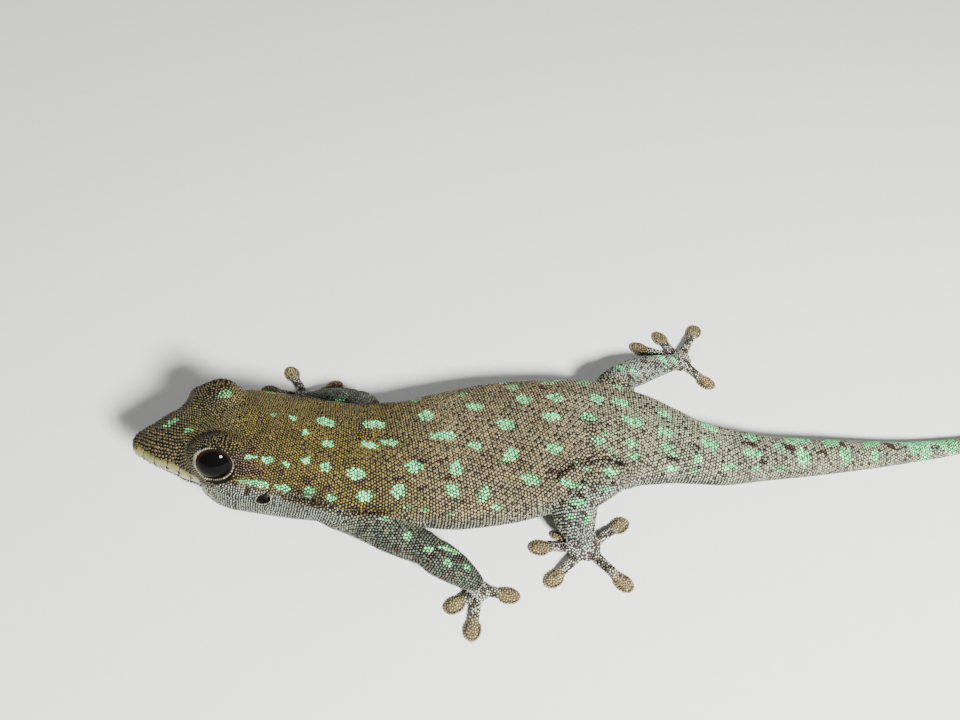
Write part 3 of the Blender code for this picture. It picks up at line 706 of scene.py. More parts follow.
bm = bmesh.new()
bmesh.ops.create_cone(bm, cap_ends=True, segments=6, radius1=1.0, radius2=0.93, depth=1.0)
for vert in bm.verts:
    vert.co.z = SCALE_BASE if vert.co.z < 0 else SCALE_SHOULDER
top = max(bm.faces, key=lambda face: face.calc_center_median().z)
bmesh.ops.inset_region(bm, faces=[top], thickness=0.3, depth=0.42, use_even_offset=True)
bmesh.ops.poke(bm, faces=[top], offset=0.18)
scale = mesh_of(bm, "scale")
print("one scale:", len(scale.vertices), "corners,", len(scale.polygons), "faces, top at",
      round(max(v.co.z for v in scale.vertices), 2))


# %% Many copies of one shape in a mesh
BAKE_PATCH = 0.003


def copies(name, shape, seats):
    """A mesh of copies of a shape. Seats hold a place, way, normal, size and masks for each."""
    count = len(seats["place"])
    local = array_of(shape)
    corners = np.zeros(len(shape.loops), np.int32)
    shape.loops.foreach_get("vertex_index", corners)
    starts = np.zeros(len(shape.polygons), np.int32)
    shape.polygons.foreach_get("loop_start", starts)
    normal = unit(seats["normal"])
    way = unit(seats["way"] - normal * np.sum(seats["way"] * normal, 1, keepdims=True))
    side = np.cross(normal, way)
    steps = np.stack([way, side, normal], 1) * seats["size"][:, :, None]
    placed = seats["place"][:, None] + np.einsum("vk,nkj->nvj", local, steps)
    placed[..., 2] = np.maximum(placed[..., 2], 0.0)
    mesh = bpy.data.meshes.new(name)
    mesh.vertices.add(count * len(local))
    mesh.loops.add(count * len(corners))
    mesh.polygons.add(count * len(starts))
    offset = np.arange(count, dtype=np.int32)[:, None]
    mesh.vertices.foreach_set("co", in_frame(placed).astype(np.float32).ravel())
    mesh.loops.foreach_set("vertex_index", (corners[None] + offset * len(local)).ravel())
    mesh.polygons.foreach_set("loop_start", (starts[None] + offset * len(corners)).ravel())
    mesh.update(calc_edges=True)
    for key, values in seats["masks"].items():
        set_values(mesh, key, np.repeat(values, len(local)))
    # Height on each scale from base to top, by which the material paints shade low on each scale
    set_values(mesh, "height", np.tile((local[:, 2] - SCALE_BASE) / (1 - SCALE_BASE), count))
    flat = seats["bake"][:, None] + local[corners][None, :, :2] * BAKE_PATCH / 2
    layer = mesh.uv_layers.new(name="OFBake")
    layer.uv.foreach_set("vector", flat.astype(np.float32).ravel())
    mesh.shade_smooth()
    return new_object(name, mesh)


print("patch of the bake map for each scale:", BAKE_PATCH)

# %% [markdown]
# Scales sit in rows that cross the body, each row shifted by half a scale, like bricks.
# Rows are counted along the animal and scales are counted round it from the middle of
# the back, so the rows run over the head's domes without a seam. They are large on the
# snout, small on the crown and the tail tip. The legs have rows of their own.

# %% Rows of seats along the body and limbs
# Pitch of the scales in mm at x along the body
PITCH = ((-38.0, 0.36), (-36.0, 0.42), (-33.5, 0.41), (-31.0, 0.31), (-27.0, 0.28), (-22.0, 0.29),
         (-15.0, 0.33), (-8.0, 0.37), (18.0, 0.385), (30.0, 0.375), (50.0, 0.34), (73.0, 0.25))
LIMB_PITCH = 0.335
FOOT_PITCH = 0.27
# Rows of a six-sided packing stand this share of a pitch apart
ROW_STEP = 0.866


def seats_in_row(ring, pitch, shifted):
    """Points round a closed ring, one pitch apart both ways from its first point."""
    found = []
    for loop in (np.vstack([ring, ring[:1]]), np.vstack([ring[:1], ring[::-1]])):
        arc = np.concatenate([[0.0], np.cumsum(np.linalg.norm(np.diff(loop, axis=0), axis=1))])
        stops = np.arange(0.5 if shifted else 0.0, arc[-1] / 2 / pitch, 1.0) * pitch
        if len(found) and not shifted:
            stops = stops[1:]
        found.append(np.stack([np.interp(stops, arc, loop[:, k]) for k in range(3)], 1))
    return np.vstack(found)


def rows_of_body():
    seats = []
    x, row = SNOUT + 0.25, 0
    while x < TAIL_TIP - 0.1:
        pitch = on_curve(PITCH, x)[0]
        step = pitch * ROW_STEP
        for _ in range(2):
            rings = body_rings(np.array([x, x + step]), 300)
            spread = np.linalg.norm(rings[1] - rings[0], axis=1)
            step *= pitch * ROW_STEP / np.percentile(np.concatenate([spread[:75], spread[-75:]]), 70)
        seats.append(seats_in_row(rings[0], pitch, row % 2))
        x += step
        row += 1
    return np.vstack(seats)


def rows_of_limb(stations):
    length = sum(math.dist(a[:3], b[:3]) for a, b in zip(stations, stations[1:]))
    share = np.arange(0.0, 1.0, LIMB_PITCH * ROW_STEP / length)
    rings = limb_rings(stations, 120, share)
    return np.vstack([seats_in_row(ring, LIMB_PITCH, row % 2) for row, ring in enumerate(rings)])


body_seats = rows_of_body()
limb_seats = np.vstack([rows_of_limb(part) for limb in LIMBS.values() for part in limb])
print("seats in rows:", len(body_seats), "on the body,", len(limb_seats), "on the limbs")

# %% [markdown]
# Each seat is dropped onto the skin. One that lands far off, on an eye, lip, ear or
# nostril, or too near a seat already taken, is left out. Where rows meet at a shoulder,
# under the belly and all over the feet, granules thrown at random fill what is left,
# because the real scales there lie in no order.

# %% Drop the seats onto the skin
# Bare bands round the eyes, ears and nostrils
LID_BAND = 0.27
EAR_BARE = 1.2
NOSTRIL_BARE = 0.34
# Height of the labials above and below the mouth, and its share at the snout's tip
UPPER_LIP, LOWER_LIP = 1.3, 0.62
TIP_LIP = 0.45
LIP_OVERLAP = 0.04
# Side of the cells in which neighbours are looked up
CELL = 0.5
TOE_MIDDLE = 0.5

skin_tree = tree_of(skin)
skin_points = in_table(array_of(skin.data))
skin_normals = array_of(skin.data, "normal")
corners = np.zeros(len(skin.data.polygons) * 3, np.int64)
skin.data.polygons.foreach_get("vertices", corners)
skin_faces = corners.reshape(-1, 3)

palms = {limb: np.array(LIMBS[limb][1][-1][:2]) for limb in TOES}


def toe_line(limb, pad):
    """From the palm or sole to the middle of a toe's pad."""
    return np.array([[*palms[limb], TOE_MIDDLE], [*pad, TOE_MIDDLE]])


def foot_share(points):
    """0 off the feet, 1 on them."""
    best = np.full(len(points), np.inf)
    for limb, pads in TOES.items():
        for pad in pads:
            best = np.minimum(best, distance_to_line(points, toe_line(limb, pad))[0] - PAD_WIDTH / 2)
    return smoothstep(0.9, 0.3, best) * smoothstep(2.4, 1.6, points[:, 2])


def lip_height(share, above):
    """Height of the labials at a share of the mouth's length, least at its corners."""
    off_tip = np.abs(np.asarray(share) - 0.5)
    taper = 1 - 0.62 * (2 * off_tip) ** 2.5
    taper *= TIP_LIP + (1 - TIP_LIP) * smoothstep(0.02, 0.12, off_tip)
    return np.where(above, UPPER_LIP, LOWER_LIP) * taper * smoothstep(-0.02, 0.06, 0.5 - off_tip)


def bare(points):
    """True where no scale may sit: eyes, ears, nostrils and lips."""
    distance, share = distance_to_line(points, mouth)
    above = points[:, 2] > np.interp(share * (len(mouth) - 1), np.arange(len(mouth)), mouth[:, 2])
    found = distance < lip_height(share, above) - LIP_OVERLAP
    found |= in_fold(points, fold_lines) < FOLD_BARE
    for side in (1, -1):
        local = on_eye(points, side)
        on_lid = np.hypot(local[:, 0], local[:, 1]) < EYE_OPENING + LID_BAND
        found |= on_lid & (local[:, 2] > EYE_FRONT)
        found |= ear_reach(points, side) < EAR_BARE
        found |= np.linalg.norm(points - side_point(NOSTRIL[0], side, NOSTRIL[1]), axis=1) < NOSTRIL_BARE
    return found


def on_skin(points, reach):
    """The nearest points of the skin, their smooth normals, and which were near enough."""
    found = [skin_tree.find_nearest(point, reach) for point in points.tolist()]
    near = np.array([hit[0] is not None for hit in found])
    places = np.array([hit[0] or point for hit, point in zip(found, points.tolist())])
    face = np.array([hit[2] or 0 for hit in found])
    return places, unit(skin_normals[skin_faces[face]].mean(1)), near


def settle(points, spacings, taken, cell):
    """Takes points in order and leaves out those too near one already taken."""
    kept = []
    for i, (point, spacing) in enumerate(zip(points.tolist(), spacings.tolist())):
        x, y, z = (int(math.floor(value / cell)) for value in point)
        free = True
        for key in ((x + a, y + b, z + c) for a in (0, -1, 1) for b in (0, -1, 1) for c in (0, -1, 1)):
            if any(math.dist(point, other) < spacing for other in taken.get(key, ())):
                free = False
                break
        if free:
            taken.setdefault((x, y, z), []).append(point)
            kept.append(i)
    return np.array(kept, int)


def pitch_on(points):
    """Pitch of the scales anywhere on the animal."""
    middle = middle_of(points[:, 0])
    off = np.abs(points[:, 1] - middle[:, 1]) > body_at(points[:, 0])[2] + 0.6
    size = np.where(off, LIMB_PITCH, on_curve(PITCH, points[:, 0]))
    feet = foot_share(points)
    return size * (1 - feet) + FOOT_PITCH * feet


def drop(points, reach, closeness):
    places, _, near = on_skin(points, reach)
    places = places[near]
    places = places[~bare(places)]
    return places[settle(places, pitch_on(places) * closeness, taken, CELL)]


# How far a seat may lie off the skin, and how near its neighbour, in pitches
SEAT_REACH = 0.3
BODY_CLOSENESS, LIMB_CLOSENESS = 0.72, 0.8

taken = {}
body_places = drop(body_seats, SEAT_REACH, BODY_CLOSENESS)
limb_places = drop(limb_seats[foot_share(limb_seats) < 0.5], SEAT_REACH, LIMB_CLOSENESS)
print("seated:", len(body_places), "on the body,", len(limb_places), "on the limbs")

# %% Fill the gaps with granules at random
FILL_TRIES = 150000
FILL_CLOSENESS = 0.84
MORE_ON_FEET = 6

edges_one = skin_points[skin_faces[:, 1]] - skin_points[skin_faces[:, 0]]
edges_two = skin_points[skin_faces[:, 2]] - skin_points[skin_faces[:, 0]]
areas = np.linalg.norm(np.cross(edges_one, edges_two), axis=1) / 2
centres = skin_points[skin_faces].mean(1)
wanted = areas * (1 + MORE_ON_FEET * foot_share(centres)) * (centres[:, 2] > 0.05)


def thrown(count):
    """Random points on the skin, thicker on the feet, none where the skin is bare."""
    pick = dice.choice(len(areas), count, p=wanted / wanted.sum())
    a, b = dice.random((2, count, 1))
    a, b = np.where(a + b > 1, 1 - a, a), np.where(a + b > 1, 1 - b, b)
    found = skin_points[skin_faces[pick, 0]] + a * edges_one[pick] + b * edges_two[pick]
    return found[~bare(found)]


fill = thrown(FILL_TRIES)
fill = fill[settle(fill, pitch_on(fill) * FILL_CLOSENESS, taken, CELL)]
places = np.vstack([body_places, limb_places, fill])
print("skin:", round(areas.sum()), "square mm; filled with", len(fill), "more; scales:", len(places))

# %% [markdown]
# Where rows crowd or spread, the scales are eased apart: each one is pushed off the
# neighbours that stand closer than its own size and set back on the skin, a few times
# over. The rows stay, with the small breaks and turns that a living coat has.

# %% Ease the scales apart
EASING_ROUNDS = 2
NEIGHBOURS = 7
# Neighbours nearer than this many pitches are pushed apart by this share of the lack
EASED_PITCH = 1.08
EASING = 0.45
EASED_CLOSENESS = 0.62
# A reach that always finds the skin
ANYWHERE = 5.0
# The seats are first thrown off their rows at random, in mm
HEAD_JITTER, BODY_JITTER = 0.09, 0.10


def eased(points):
    """Points pushed off neighbours that are too near, and set back on the skin."""
    spacing = pitch_on(points)
    for _ in range(EASING_ROUNDS):
        tree = KDTree(len(points))
        for i, point in enumerate(points.tolist()):
            tree.insert(point, i)
        tree.balance()
        near = np.array([[hit[1] for hit in tree.find_n(p, NEIGHBOURS)[1:]] for p in points.tolist()])
        away = points[:, None] - points[near]
        distance = np.linalg.norm(away, axis=2)
        want = (spacing[:, None] + spacing[near]) / 2 * EASED_PITCH
        push = np.clip(want - distance, 0, None)[..., None] * away / np.maximum(distance, 1e-6)[..., None]
        points, _, _ = on_skin(points + push.sum(1) * EASING, ANYWHERE)
    return points


jitter = np.where(places[:, 0] < HEAD_END, HEAD_JITTER, BODY_JITTER)[:, None]
places = eased(places + dice.normal(0, 0.6, places.shape) * jitter)
places = places[~bare(places)]
taken = {}
places = places[settle(places, pitch_on(places) * EASED_CLOSENESS, taken, CELL)]
fill = thrown(FILL_TRIES // 2)
fill = fill[settle(fill, pitch_on(fill) * FILL_CLOSENESS, taken, CELL)]
places = eased(np.vstack([places, fill]))
places, normals, _ = on_skin(places, ANYWHERE)
print("holes filled:", len(fill), "scales now:", len(places))

# %% [markdown]
# The markings follow the photo: each green spot is a patch of whole green scales. A spot
# is given by the pixel at its middle, its length and height in pixels and its tilt, and
# is laid on the skin through the camera. Spots low on the left flank are mirrored to the
# hidden right one. Skin and scales ask the same function, so they always agree.

# %% Where the green spots are
# u, v, length and height in pixels, tilt in degrees
GREEN_SPOTS = (
    (374, 425, 22, 8, 0), (426, 416, 16, 9, 5), (370, 445, 20, 7, -8), (390, 443, 18, 7, 10),
    (443, 436, 23, 9, 14), (475, 446, 12, 9, 0), (475, 407, 19, 7, 0), (356, 474, 19, 11, 0),
    (414, 467, 17, 13, 0), (456, 468, 15, 13, 0), (364, 496, 15, 12, 0), (398, 491, 13, 13, 0),
    (453, 490, 13, 15, 0), (484, 495, 9, 17, -20), (505, 425, 19, 9, 5), (523, 399, 15, 8, 5),
    (555, 398, 16, 7, 0), (551, 417, 18, 9, 15), (596, 399, 14, 8, -8), (620, 403, 17, 7, -10),
    (588, 417, 15, 9, 0), (633, 422, 23, 8, -20), (598, 441, 14, 8, 0), (631, 444, 12, 8, 0),
    (635, 457, 12, 8, -10), (555, 449, 16, 11, 15), (511, 455, 18, 12, 45), (530, 479, 21, 11, -15),
    (497, 507, 12, 6, 30), (610, 472, 15, 7, 5), (570, 484, 24, 7, -12), (578, 502, 20, 6, -5),
    (571, 517, 8, 6, 0), (588, 519, 13, 7, 40),
    (663, 414, 15, 7, -25), (664, 432, 17, 7, -15), (667, 447, 12, 8, 0), (673, 454, 10, 5, 0),
    (708, 427, 13, 6, -5), (710, 445, 17, 10, -30), (698, 459, 10, 10, 0), (672, 469, 12, 7, 0),
    (693, 471, 8, 5, 0), (751, 437, 14, 6, -15), (752, 453, 19, 8, 0), (729, 467, 14, 7, 0),
    (755, 469, 8, 5, 0), (780, 468, 10, 6, 0), (798, 440, 14, 7, -20), (803, 457, 12, 16, 0),
    (831, 442, 13, 8, -20), (846, 455, 13, 14, 0), (872, 443, 11, 8, -20), (875, 455, 10, 11, 0),
    (908, 443, 11, 7, -30), (915, 451, 10, 9, 0), (937, 442, 10, 6, -25), (944, 447, 9, 7, 0),
    (293, 418, 8, 5, 0), (325, 422, 19, 8, -25), (305, 433, 7, 6, 0),
    (328, 444, 10, 8, 0), (306, 460, 10, 9, 0), (326, 467, 11, 10, 0), (250, 457, 12, 5, -3),
    (267, 460, 14, 6, -6), (286, 464, 9, 6, -10), (260, 484, 24, 7, -10), (283, 488, 17, 7, -10),
    (309, 491, 12, 9, 0), (331, 498, 12, 7, -15), (408, 536, 10, 8, 0), (428, 549, 12, 7, 0),
    (450, 550, 12, 6, 10), (448, 563, 12, 6, 0), (471, 559, 9, 6, 0), (467, 568, 8, 6, 0),
    (340, 401, 12, 6, 0), (633, 372, 8, 6, 0), (604, 371, 9, 5, 0),
    (638, 357, 9, 6, 0), (660, 357, 7, 7, 0), (620, 368, 9, 5, 0), (673, 360, 6, 5, 0),
    (596, 531, 8, 8, 0), (587, 548, 10, 6, 0), (591, 563, 5, 5, 0),
)
FAINT_SPOTS = (
    (461, 395, 12, 4, 10), (417, 400, 10, 4, 5), (407, 508, 9, 5, 0), (425, 510, 9, 5, 0),
    (450, 514, 11, 5, 0), (513, 388, 14, 5, 5), (549, 383, 14, 4, 0), (584, 383, 12, 5, -10),
    (618, 387, 11, 4, -10), (609, 433, 15, 5, 5), (613, 452, 12, 5, -25), (575, 463, 9, 5, 20),
    (225, 394, 13, 8, 30), (273, 415, 7, 4, 0), (188, 431, 9, 5, 0), (171, 423, 15, 5, 8),
    (244, 481, 14, 5, 0),
    (779, 448, 14, 8, -15), (385, 519, 10, 5, 0), (588, 470, 9, 5, 0), (606, 489, 9, 5, 0),
)
BROWN_SPOTS = (
    (252, 448, 7, 5, 0), (255, 472, 16, 7, -10), (282, 473, 8, 5, 0), (307, 481, 9, 6, 0),
    (328, 487, 9, 6, 0), (247, 492, 7, 8, 0), (238, 470, 7, 6, 0), (208, 413, 8, 4, 0),
    (360, 483, 11, 8, 0), (376, 491, 6, 5, 0), (400, 478, 13, 5, 0), (422, 488, 12, 5, 0),
    (448, 478, 10, 5, 0), (421, 461, 9, 4, 0), (440, 462, 6, 5, 0), (552, 471, 6, 6, 0),
    (581, 496, 10, 4, 0), (573, 507, 7, 4, 0), (586, 514, 6, 4, 0), (633, 380, 6, 4, 0),
    (750, 444, 16, 3, 0), (764, 462, 8, 5, 0), (695, 446, 8, 4, -30), (672, 459, 9, 5, 0),
    (838, 443, 10, 4, 0), (788, 447, 10, 5, 0), (822, 452, 9, 4, 0), (890, 446, 10, 5, 0),
    (430, 556, 10, 5, 0), (458, 556, 9, 5, 0), (541, 388, 8, 3, 0),
)
# Spots on the left flank, this many degrees or more off the top, get a mirrored twin
MIRRORED_FROM = 74.0
TWIN_SHIFT = (1.2, 0.4)
# A spot seen at a slant is never stretched beyond this half length
LONGEST_HALF = 1.6


def plane_point(u, v, place, normal):
    """Where a sight line meets the plane of the skin round a spot."""
    start, aim = np.array(CAMERA_PLACE), sight_line(u, v)
    return start + aim * ((place - start) @ normal) / (aim @ normal)


def laid_spots(tree, table):
    """Middle, half length and half height as vectors for each spot, mirrored ones as well."""
    found = []
    for u, v, length, height, tilt in table:
        place, normal = through_photo(tree, u, v)
        if place is None:
            print("no skin under spot", u, v)
            continue
        turn = math.radians(tilt)
        ends = []
        for reach, angle in ((length / 2, turn), (height / 2, turn + math.pi / 2)):
            end = plane_point(u + reach * math.cos(angle), v - reach * math.sin(angle), place, normal)
            way = end - place
            ends.append(way / max(1.0, np.linalg.norm(way) / LONGEST_HALF))
        found.append((place, *ends))
        middle = middle_of(place[0])[0]
        off_top = math.degrees(math.atan2(middle[1] - place[1], place[2] - middle[2]))
        if off_top > MIRRORED_FROM:
            flip = np.array((1.0, -1.0, 1.0))
            shifts = [dice.uniform(-reach, reach) for reach in TWIN_SHIFT]
            jitter = np.array((shifts[0], 0.0, shifts[1]))
            found.append((middle + (place - middle) * flip + jitter, ends[0] * flip, ends[1] * flip))
    return found


green_spots = laid_spots(skin_tree, GREEN_SPOTS)
faint_spots = laid_spots(skin_tree, FAINT_SPOTS)
brown_spots = laid_spots(skin_tree, BROWN_SPOTS)
print("spots laid:", len(green_spots), "green,", len(faint_spots), "faint,", len(brown_spots), "brown_and_painted_shade")


# %% The markings at any point of the animal
# A spot colours nothing beyond this distance, squared, from its middle
SPOT_REACH = 12


def in_spots(points, spots, ragged):
    """1 inside any spot, with an edge as ragged as the number given for each point."""
    found = np.zeros(len(points))
    for place, long_way, high_way in spots:
        away = points - place
        near = np.einsum("ij,ij->i", away, away) < SPOT_REACH
        a = away[near] @ long_way / (long_way @ long_way)
        b = away[near] @ high_way / (high_way @ high_way)
        found[near] = np.maximum(found[near], a**2 + b**2 < 1 + ragged[near])
    return found


# Height of the line between brown back and pale flank, at x: -1 is the belly, 1 the back
PALE_LINE = (
    (-38.0, -0.30), (-32.0, -0.24), (-30.0, -0.15), (-28.5, 0.02), (-27.0, 0.26), (-25.0, 0.33),
    (-22.0, 0.35), (-18.5, 0.30), (-15.0, 0.20), (-11.0, 0.10), (-6.0, 0.04), (10.0, 0.08),
    (22.0, 0.04), (35.0, -0.15), (73.0, -0.2),
)
PALE_BLUR = ((-38.0, 0.10), (-15.0, 0.12), (-5.0, 0.45), (15.0, 0.5), (30.0, 0.3), (73.0, 0.2))
# Each colour grows from nothing at the first x to full at the second
TAIL_FADE = (TAIL_START - 15, TAIL_START + 6)
OLIVE_FADE = (-24, -29)
GOLD_FADES = ((-30, -25), (0, -13))
ARM_FADE = (7.0, 2.0)
SNOUT_FADE = (-29.5, -33.5)
UNDER_LIMB = (0.1, -0.5)
# The tail's tip is ringed with green: the first ring's x, their spacing and half width
LAST_BAND, BAND_SPACING, BAND_HALF = 53.5, 3.6, 0.6
# How strong the brown is in blotches, before the eyes and on the snout, and the painted shade in the
# folds
MOTTLE_BROWN, EYE_BROWN, SNOUT_BROWN, FOLD_PAINTED_SHADE = 0.85, 0.85, 0.35, 0.9
# The brown before each eye, in the eye's own frame: forward, back, up and lowest
EYE_PATCH = ((1.9, 2.5), (4.4, 3.2), (1.9, 0.9), -1.5)
FAINT_GREEN, BAND_GREEN = 0.4, 0.9
PAD_EDGE = (0.15, -0.25)


def near_points(points, centres, radii, ragged):
    """1 within the radius of any centre."""
    found = np.zeros(len(points), bool)
    for centre, radius in zip(centres, radii):
        found |= np.einsum("ij,ij->i", points - centre, points - centre) < radius**2 * (1 + ragged)
    return found * 1.0


def markings(points, normals, ragged):
    """Masks from 0 to 1 for the colours of skin and scales, with painted shade in the folds and ears."""
    x = points[:, 0]
    middle = middle_of(x)
    _, _, width, rise, drop_down = body_at(x)[:5]
    limb = smoothstep(0.0, 1.2, np.abs(points[:, 1] - middle[:, 1]) - width) * (x < 45)
    level = (points[:, 2] - middle[:, 2]) / np.where(points[:, 2] > middle[:, 2], rise, drop_down)
    feet = foot_share(points)
    line, blur = on_curve(PALE_LINE, x), on_curve(PALE_BLUR, x)
    pale = smoothstep(line + blur, line - blur, level + 0.3 * ragged * blur / 0.4)
    pale = pale * (1 - limb) + limb * smoothstep(*UNDER_LIMB, normals[:, 2])
    rising, falling = GOLD_FADES
    green = in_spots(points, green_spots, ragged)
    green = np.maximum(green, FAINT_GREEN * in_spots(points, faint_spots, ragged))
    off_band = np.abs((x - LAST_BAND + BAND_SPACING / 2) % BAND_SPACING - BAND_SPACING / 2)
    bands = (x > LAST_BAND - 1) * (off_band < BAND_HALF + 0.3 * ragged) * (level > -0.4)
    green = np.maximum(green, bands * BAND_GREEN)
    brown_and_painted_shade = in_spots(points, brown_spots, ragged)
    brown_and_painted_shade = np.maximum(brown_and_painted_shade, MOTTLE_BROWN * near_points(points, *mottles, ragged))
    brown_and_painted_shade = np.maximum(brown_and_painted_shade, SNOUT_BROWN * smoothstep(*SNOUT_FADE, x) * (1 - pale))
    before, behind, beside, lowest = EYE_PATCH
    for side in (1, -1):
        local = on_eye(points, side)
        front = smoothstep(*before, local[:, 0]) * smoothstep(*behind, local[:, 0])
        front *= smoothstep(*beside, np.abs(local[:, 1] + 0.2)) * (local[:, 2] > lowest)
        brown_and_painted_shade = np.maximum(brown_and_painted_shade, EYE_BROWN * front * (pale < 0.5))
        # Painted shade: the pit of each ear is dark brown
        brown_and_painted_shade = np.maximum(brown_and_painted_shade, (ear_reach(points, side) < 1.12) * 1.0)
    off_fold = in_fold(points, fold_lines)
    # Painted shade: dark brown along each fold, fading out at the shade's reach
    brown_and_painted_shade = np.maximum(brown_and_painted_shade, FOLD_PAINTED_SHADE * smoothstep(*FOLD_SHADE, off_fold))
    pad = np.zeros(len(points))
    outer, inner = (PAD_LENGTH / 2 + edge for edge in PAD_EDGE)
    for digit in (digit for pads in TOES.values() for digit in pads):
        reach = np.linalg.norm(points[:, :2] - np.array(digit), axis=1)
        pad = np.maximum(pad, smoothstep(outer, inner, reach))
    return {
        "olive": smoothstep(*OLIVE_FADE, x) * (1 - pale),
        "gold": smoothstep(*rising, x) * smoothstep(*falling, x) * (1 - pale) * (1 - limb),
        "pale": pale * (1 - feet),
        "tail": smoothstep(*TAIL_FADE, x) * (1 - limb),
        "limb": np.maximum(limb, feet),
        "foot": feet,
        "arm": limb * (1 - feet) * smoothstep(*ARM_FADE, x),
        "pad": pad * feet,
        "green": green * (1 - feet) * (off_fold > FOLD_BARE),
        "brown_and_painted_shade": brown_and_painted_shade * (1 - green) * (1 - 0.8 * pad * feet),
    }


# Brown mottling of the limbs: blotches at random, a little apart and larger on the feet
MOTTLE_SPACING = 0.95
# Spacings are spread by these factors, so cells of the widest spacing find all neighbours
SPREAD = (0.7, 1.6)
WIDE_CELL = 1.9
MOTTLE_RADII = (0.15, 0.36)
LARGER_ON_FEET = 0.14

middle = middle_of(places[:, 0])
on_limb = np.abs(places[:, 1] - middle[:, 1]) > body_at(places[:, 0])[2] + 0.7
on_limb &= (places[:, 0] > HEAD_END - 8) & (places[:, 0] < 35)
on_limb &= (places[:, 2] > 0.5) & (normals[:, 2] > -0.1)
found = dice.permutation(np.where(on_limb)[0])
on_foot = foot_share(places) > 0.5
apart = MOTTLE_SPACING * dice.uniform(*SPREAD, len(found)) * np.where(on_foot[found], 1.2, 1.0)
found = found[settle(places[found], apart, {}, WIDE_CELL)]
mottles = (places[found], dice.uniform(*MOTTLE_RADII, len(found)) + LARGER_ON_FEET * on_foot[found])
print("brown blotches on the limbs:", len(found))

ragged = dice.uniform(-0.35, 0.35, len(places))
masks = markings(places, normals, ragged)
print("scales in green spots:", int((masks["green"] > 0.5).sum()))

# %% [markdown]
# Single black scales are scattered all over, most of them about a millimetre apart, and
# closer on the legs. They are chosen with the same rule that spaces the granules: one
# is taken only if no other black scale is near.

# %% Black scales, sizes and ways
DOT_SPACING = 0.85
LIMB_DOT_SPACING = 0.75
DOT_STRENGTHS = (0.6, 0.9, 1.0)
DOTS_LEFT_ON_PADS = 0.35
# Scales this near the middle line of a limb or a toe point along it
LIMB_REACH, TOE_REACH = 2.2, 1.1
# Half length, half width and height of a scale in pitches
SCALE_LONG, SCALE_WIDE, SCALE_HIGH = 0.53, 0.53, 0.34
SCALE_SPREAD = (0.86, 1.1)

order = dice.permutation(len(places))
spacing = np.where(masks["limb"] + masks["pad"] > 0.4, LIMB_DOT_SPACING, DOT_SPACING)
spacing = spacing * dice.uniform(*SPREAD, len(places))
dots = order[settle(places[order], spacing[order], {}, WIDE_CELL)]
dark = np.zeros(len(places))
dark[dots] = dice.choice(DOT_STRENGTHS, len(dots))
dark *= masks["green"] < 0.3
dark *= np.where(masks["pad"] > 0.5, dice.random(len(places)) < DOTS_LEFT_ON_PADS, 1)

across, up = across_and_up(places[:, 0])
ways = np.cross(up, across)
for limb, parts in LIMBS.items():
    stretches = []
    for part in parts:
        line = np.array(part)[:, :3]
        stretches += [(np.array(pair), LIMB_REACH, "limb") for pair in zip(line, line[1:])]
    stretches += [(toe_line(limb, pad), TOE_REACH, "pad") for pad in TOES[limb]]
    for line, reach, mask in stretches:
        near = (distance_to_line(places, line)[0] < reach) & (masks[mask] > 0.5)
        ways[near] = unit(line[1] - line[0])

pitch = pitch_on(places)
belly = smoothstep(-0.35, -0.75, normals[:, 2])
throat = masks["pale"] * (1 - belly) * (1 - masks["limb"]) * (1 - masks["pad"])
swelling = dice.uniform(*SCALE_SPREAD, len(places))
length = pitch * swelling * (SCALE_LONG - 0.19 * throat + 0.10 * belly)
width = pitch * swelling * (SCALE_WIDE + 0.04 * throat + 0.03 * belly)
height = pitch * (SCALE_HIGH - 0.12 * belly - 0.06 * masks["pad"])
tone = dice.random(len(places))
masks.update(dark=dark, tone=tone)
print("black scales:", int((dark > 0).sum()))

# %% [markdown]
# The scales are joined into a few pieces, each small enough to export. For the export's
# bake every scale has its own tiny patch on an unwrap of the skin: the body is unrolled
# along its length and girth, the limbs and feet are laid out beside it.

# %% Unroll the skin for the bake map
BAKE_PER_MM = 0.98 / (TAIL_TIP - SNOUT)
# The middle of the back starts here on the map, and each limb has two cells above it,
# one for its upper side and one for its underside
BODY_ON_MAP = (0.01, 0.26)
LIMB_ON_MAP = (0.125, 0.64)
NEXT_LIMB, UNDERSIDE = 0.25, 0.24
MAP_EDGES = (0.003, 0.997)


def unrolled(points, radius):
    """Places on the map of points round the body, unrolled with a radius in mm."""
    away = points - middle_of(points[:, 0])
    turn = np.arctan2(away[:, 1], away[:, 2])
    return np.stack([points[:, 0] - SNOUT, turn * radius], 1) * BAKE_PER_MM + BODY_ON_MAP


def bake_places(points, normals):
    """A place in the unit square for each root, the same scale everywhere."""
    middle = middle_of(points[:, 0])
    flat = unrolled(points, (body_at(points[:, 0])[2] + 0.5) * 0.85)
    off = masks["limb"] + masks["pad"] > 0.5
    for i, (limb, pads) in enumerate(TOES.items()):
        centre = np.array([palms[limb], np.array(LIMBS[limb][0][1][:2])]).mean(0)
        near = off & (np.linalg.norm(points[:, :2] - centre, axis=1) < 15)
        near &= (points[:, 1] < middle[:, 1]) == ("left" in limb)
        for under in (0, 1):
            cell = near & ((normals[:, 2] < 0) == bool(under))
            cell_middle = np.array(LIMB_ON_MAP) + (NEXT_LIMB * i, UNDERSIDE * under)
            flat[cell] = cell_middle + (points[cell, :2] - centre) * BAKE_PER_MM * 0.9
    return np.clip(flat, *MAP_EDGES)


seats = {
    "place": places,
    "normal": normals,
    "way": ways,
    "size": np.stack([length, width, height], 1),
    "bake": bake_places(places, normals),
    "masks": masks,
}

# %% Join the scales into pieces
HEAD_CUTS = (-32.0, -26.5, HEAD_END)
BODY_CUTS = (-13.0, -4.0, 5.0, 14.0, 26.0)

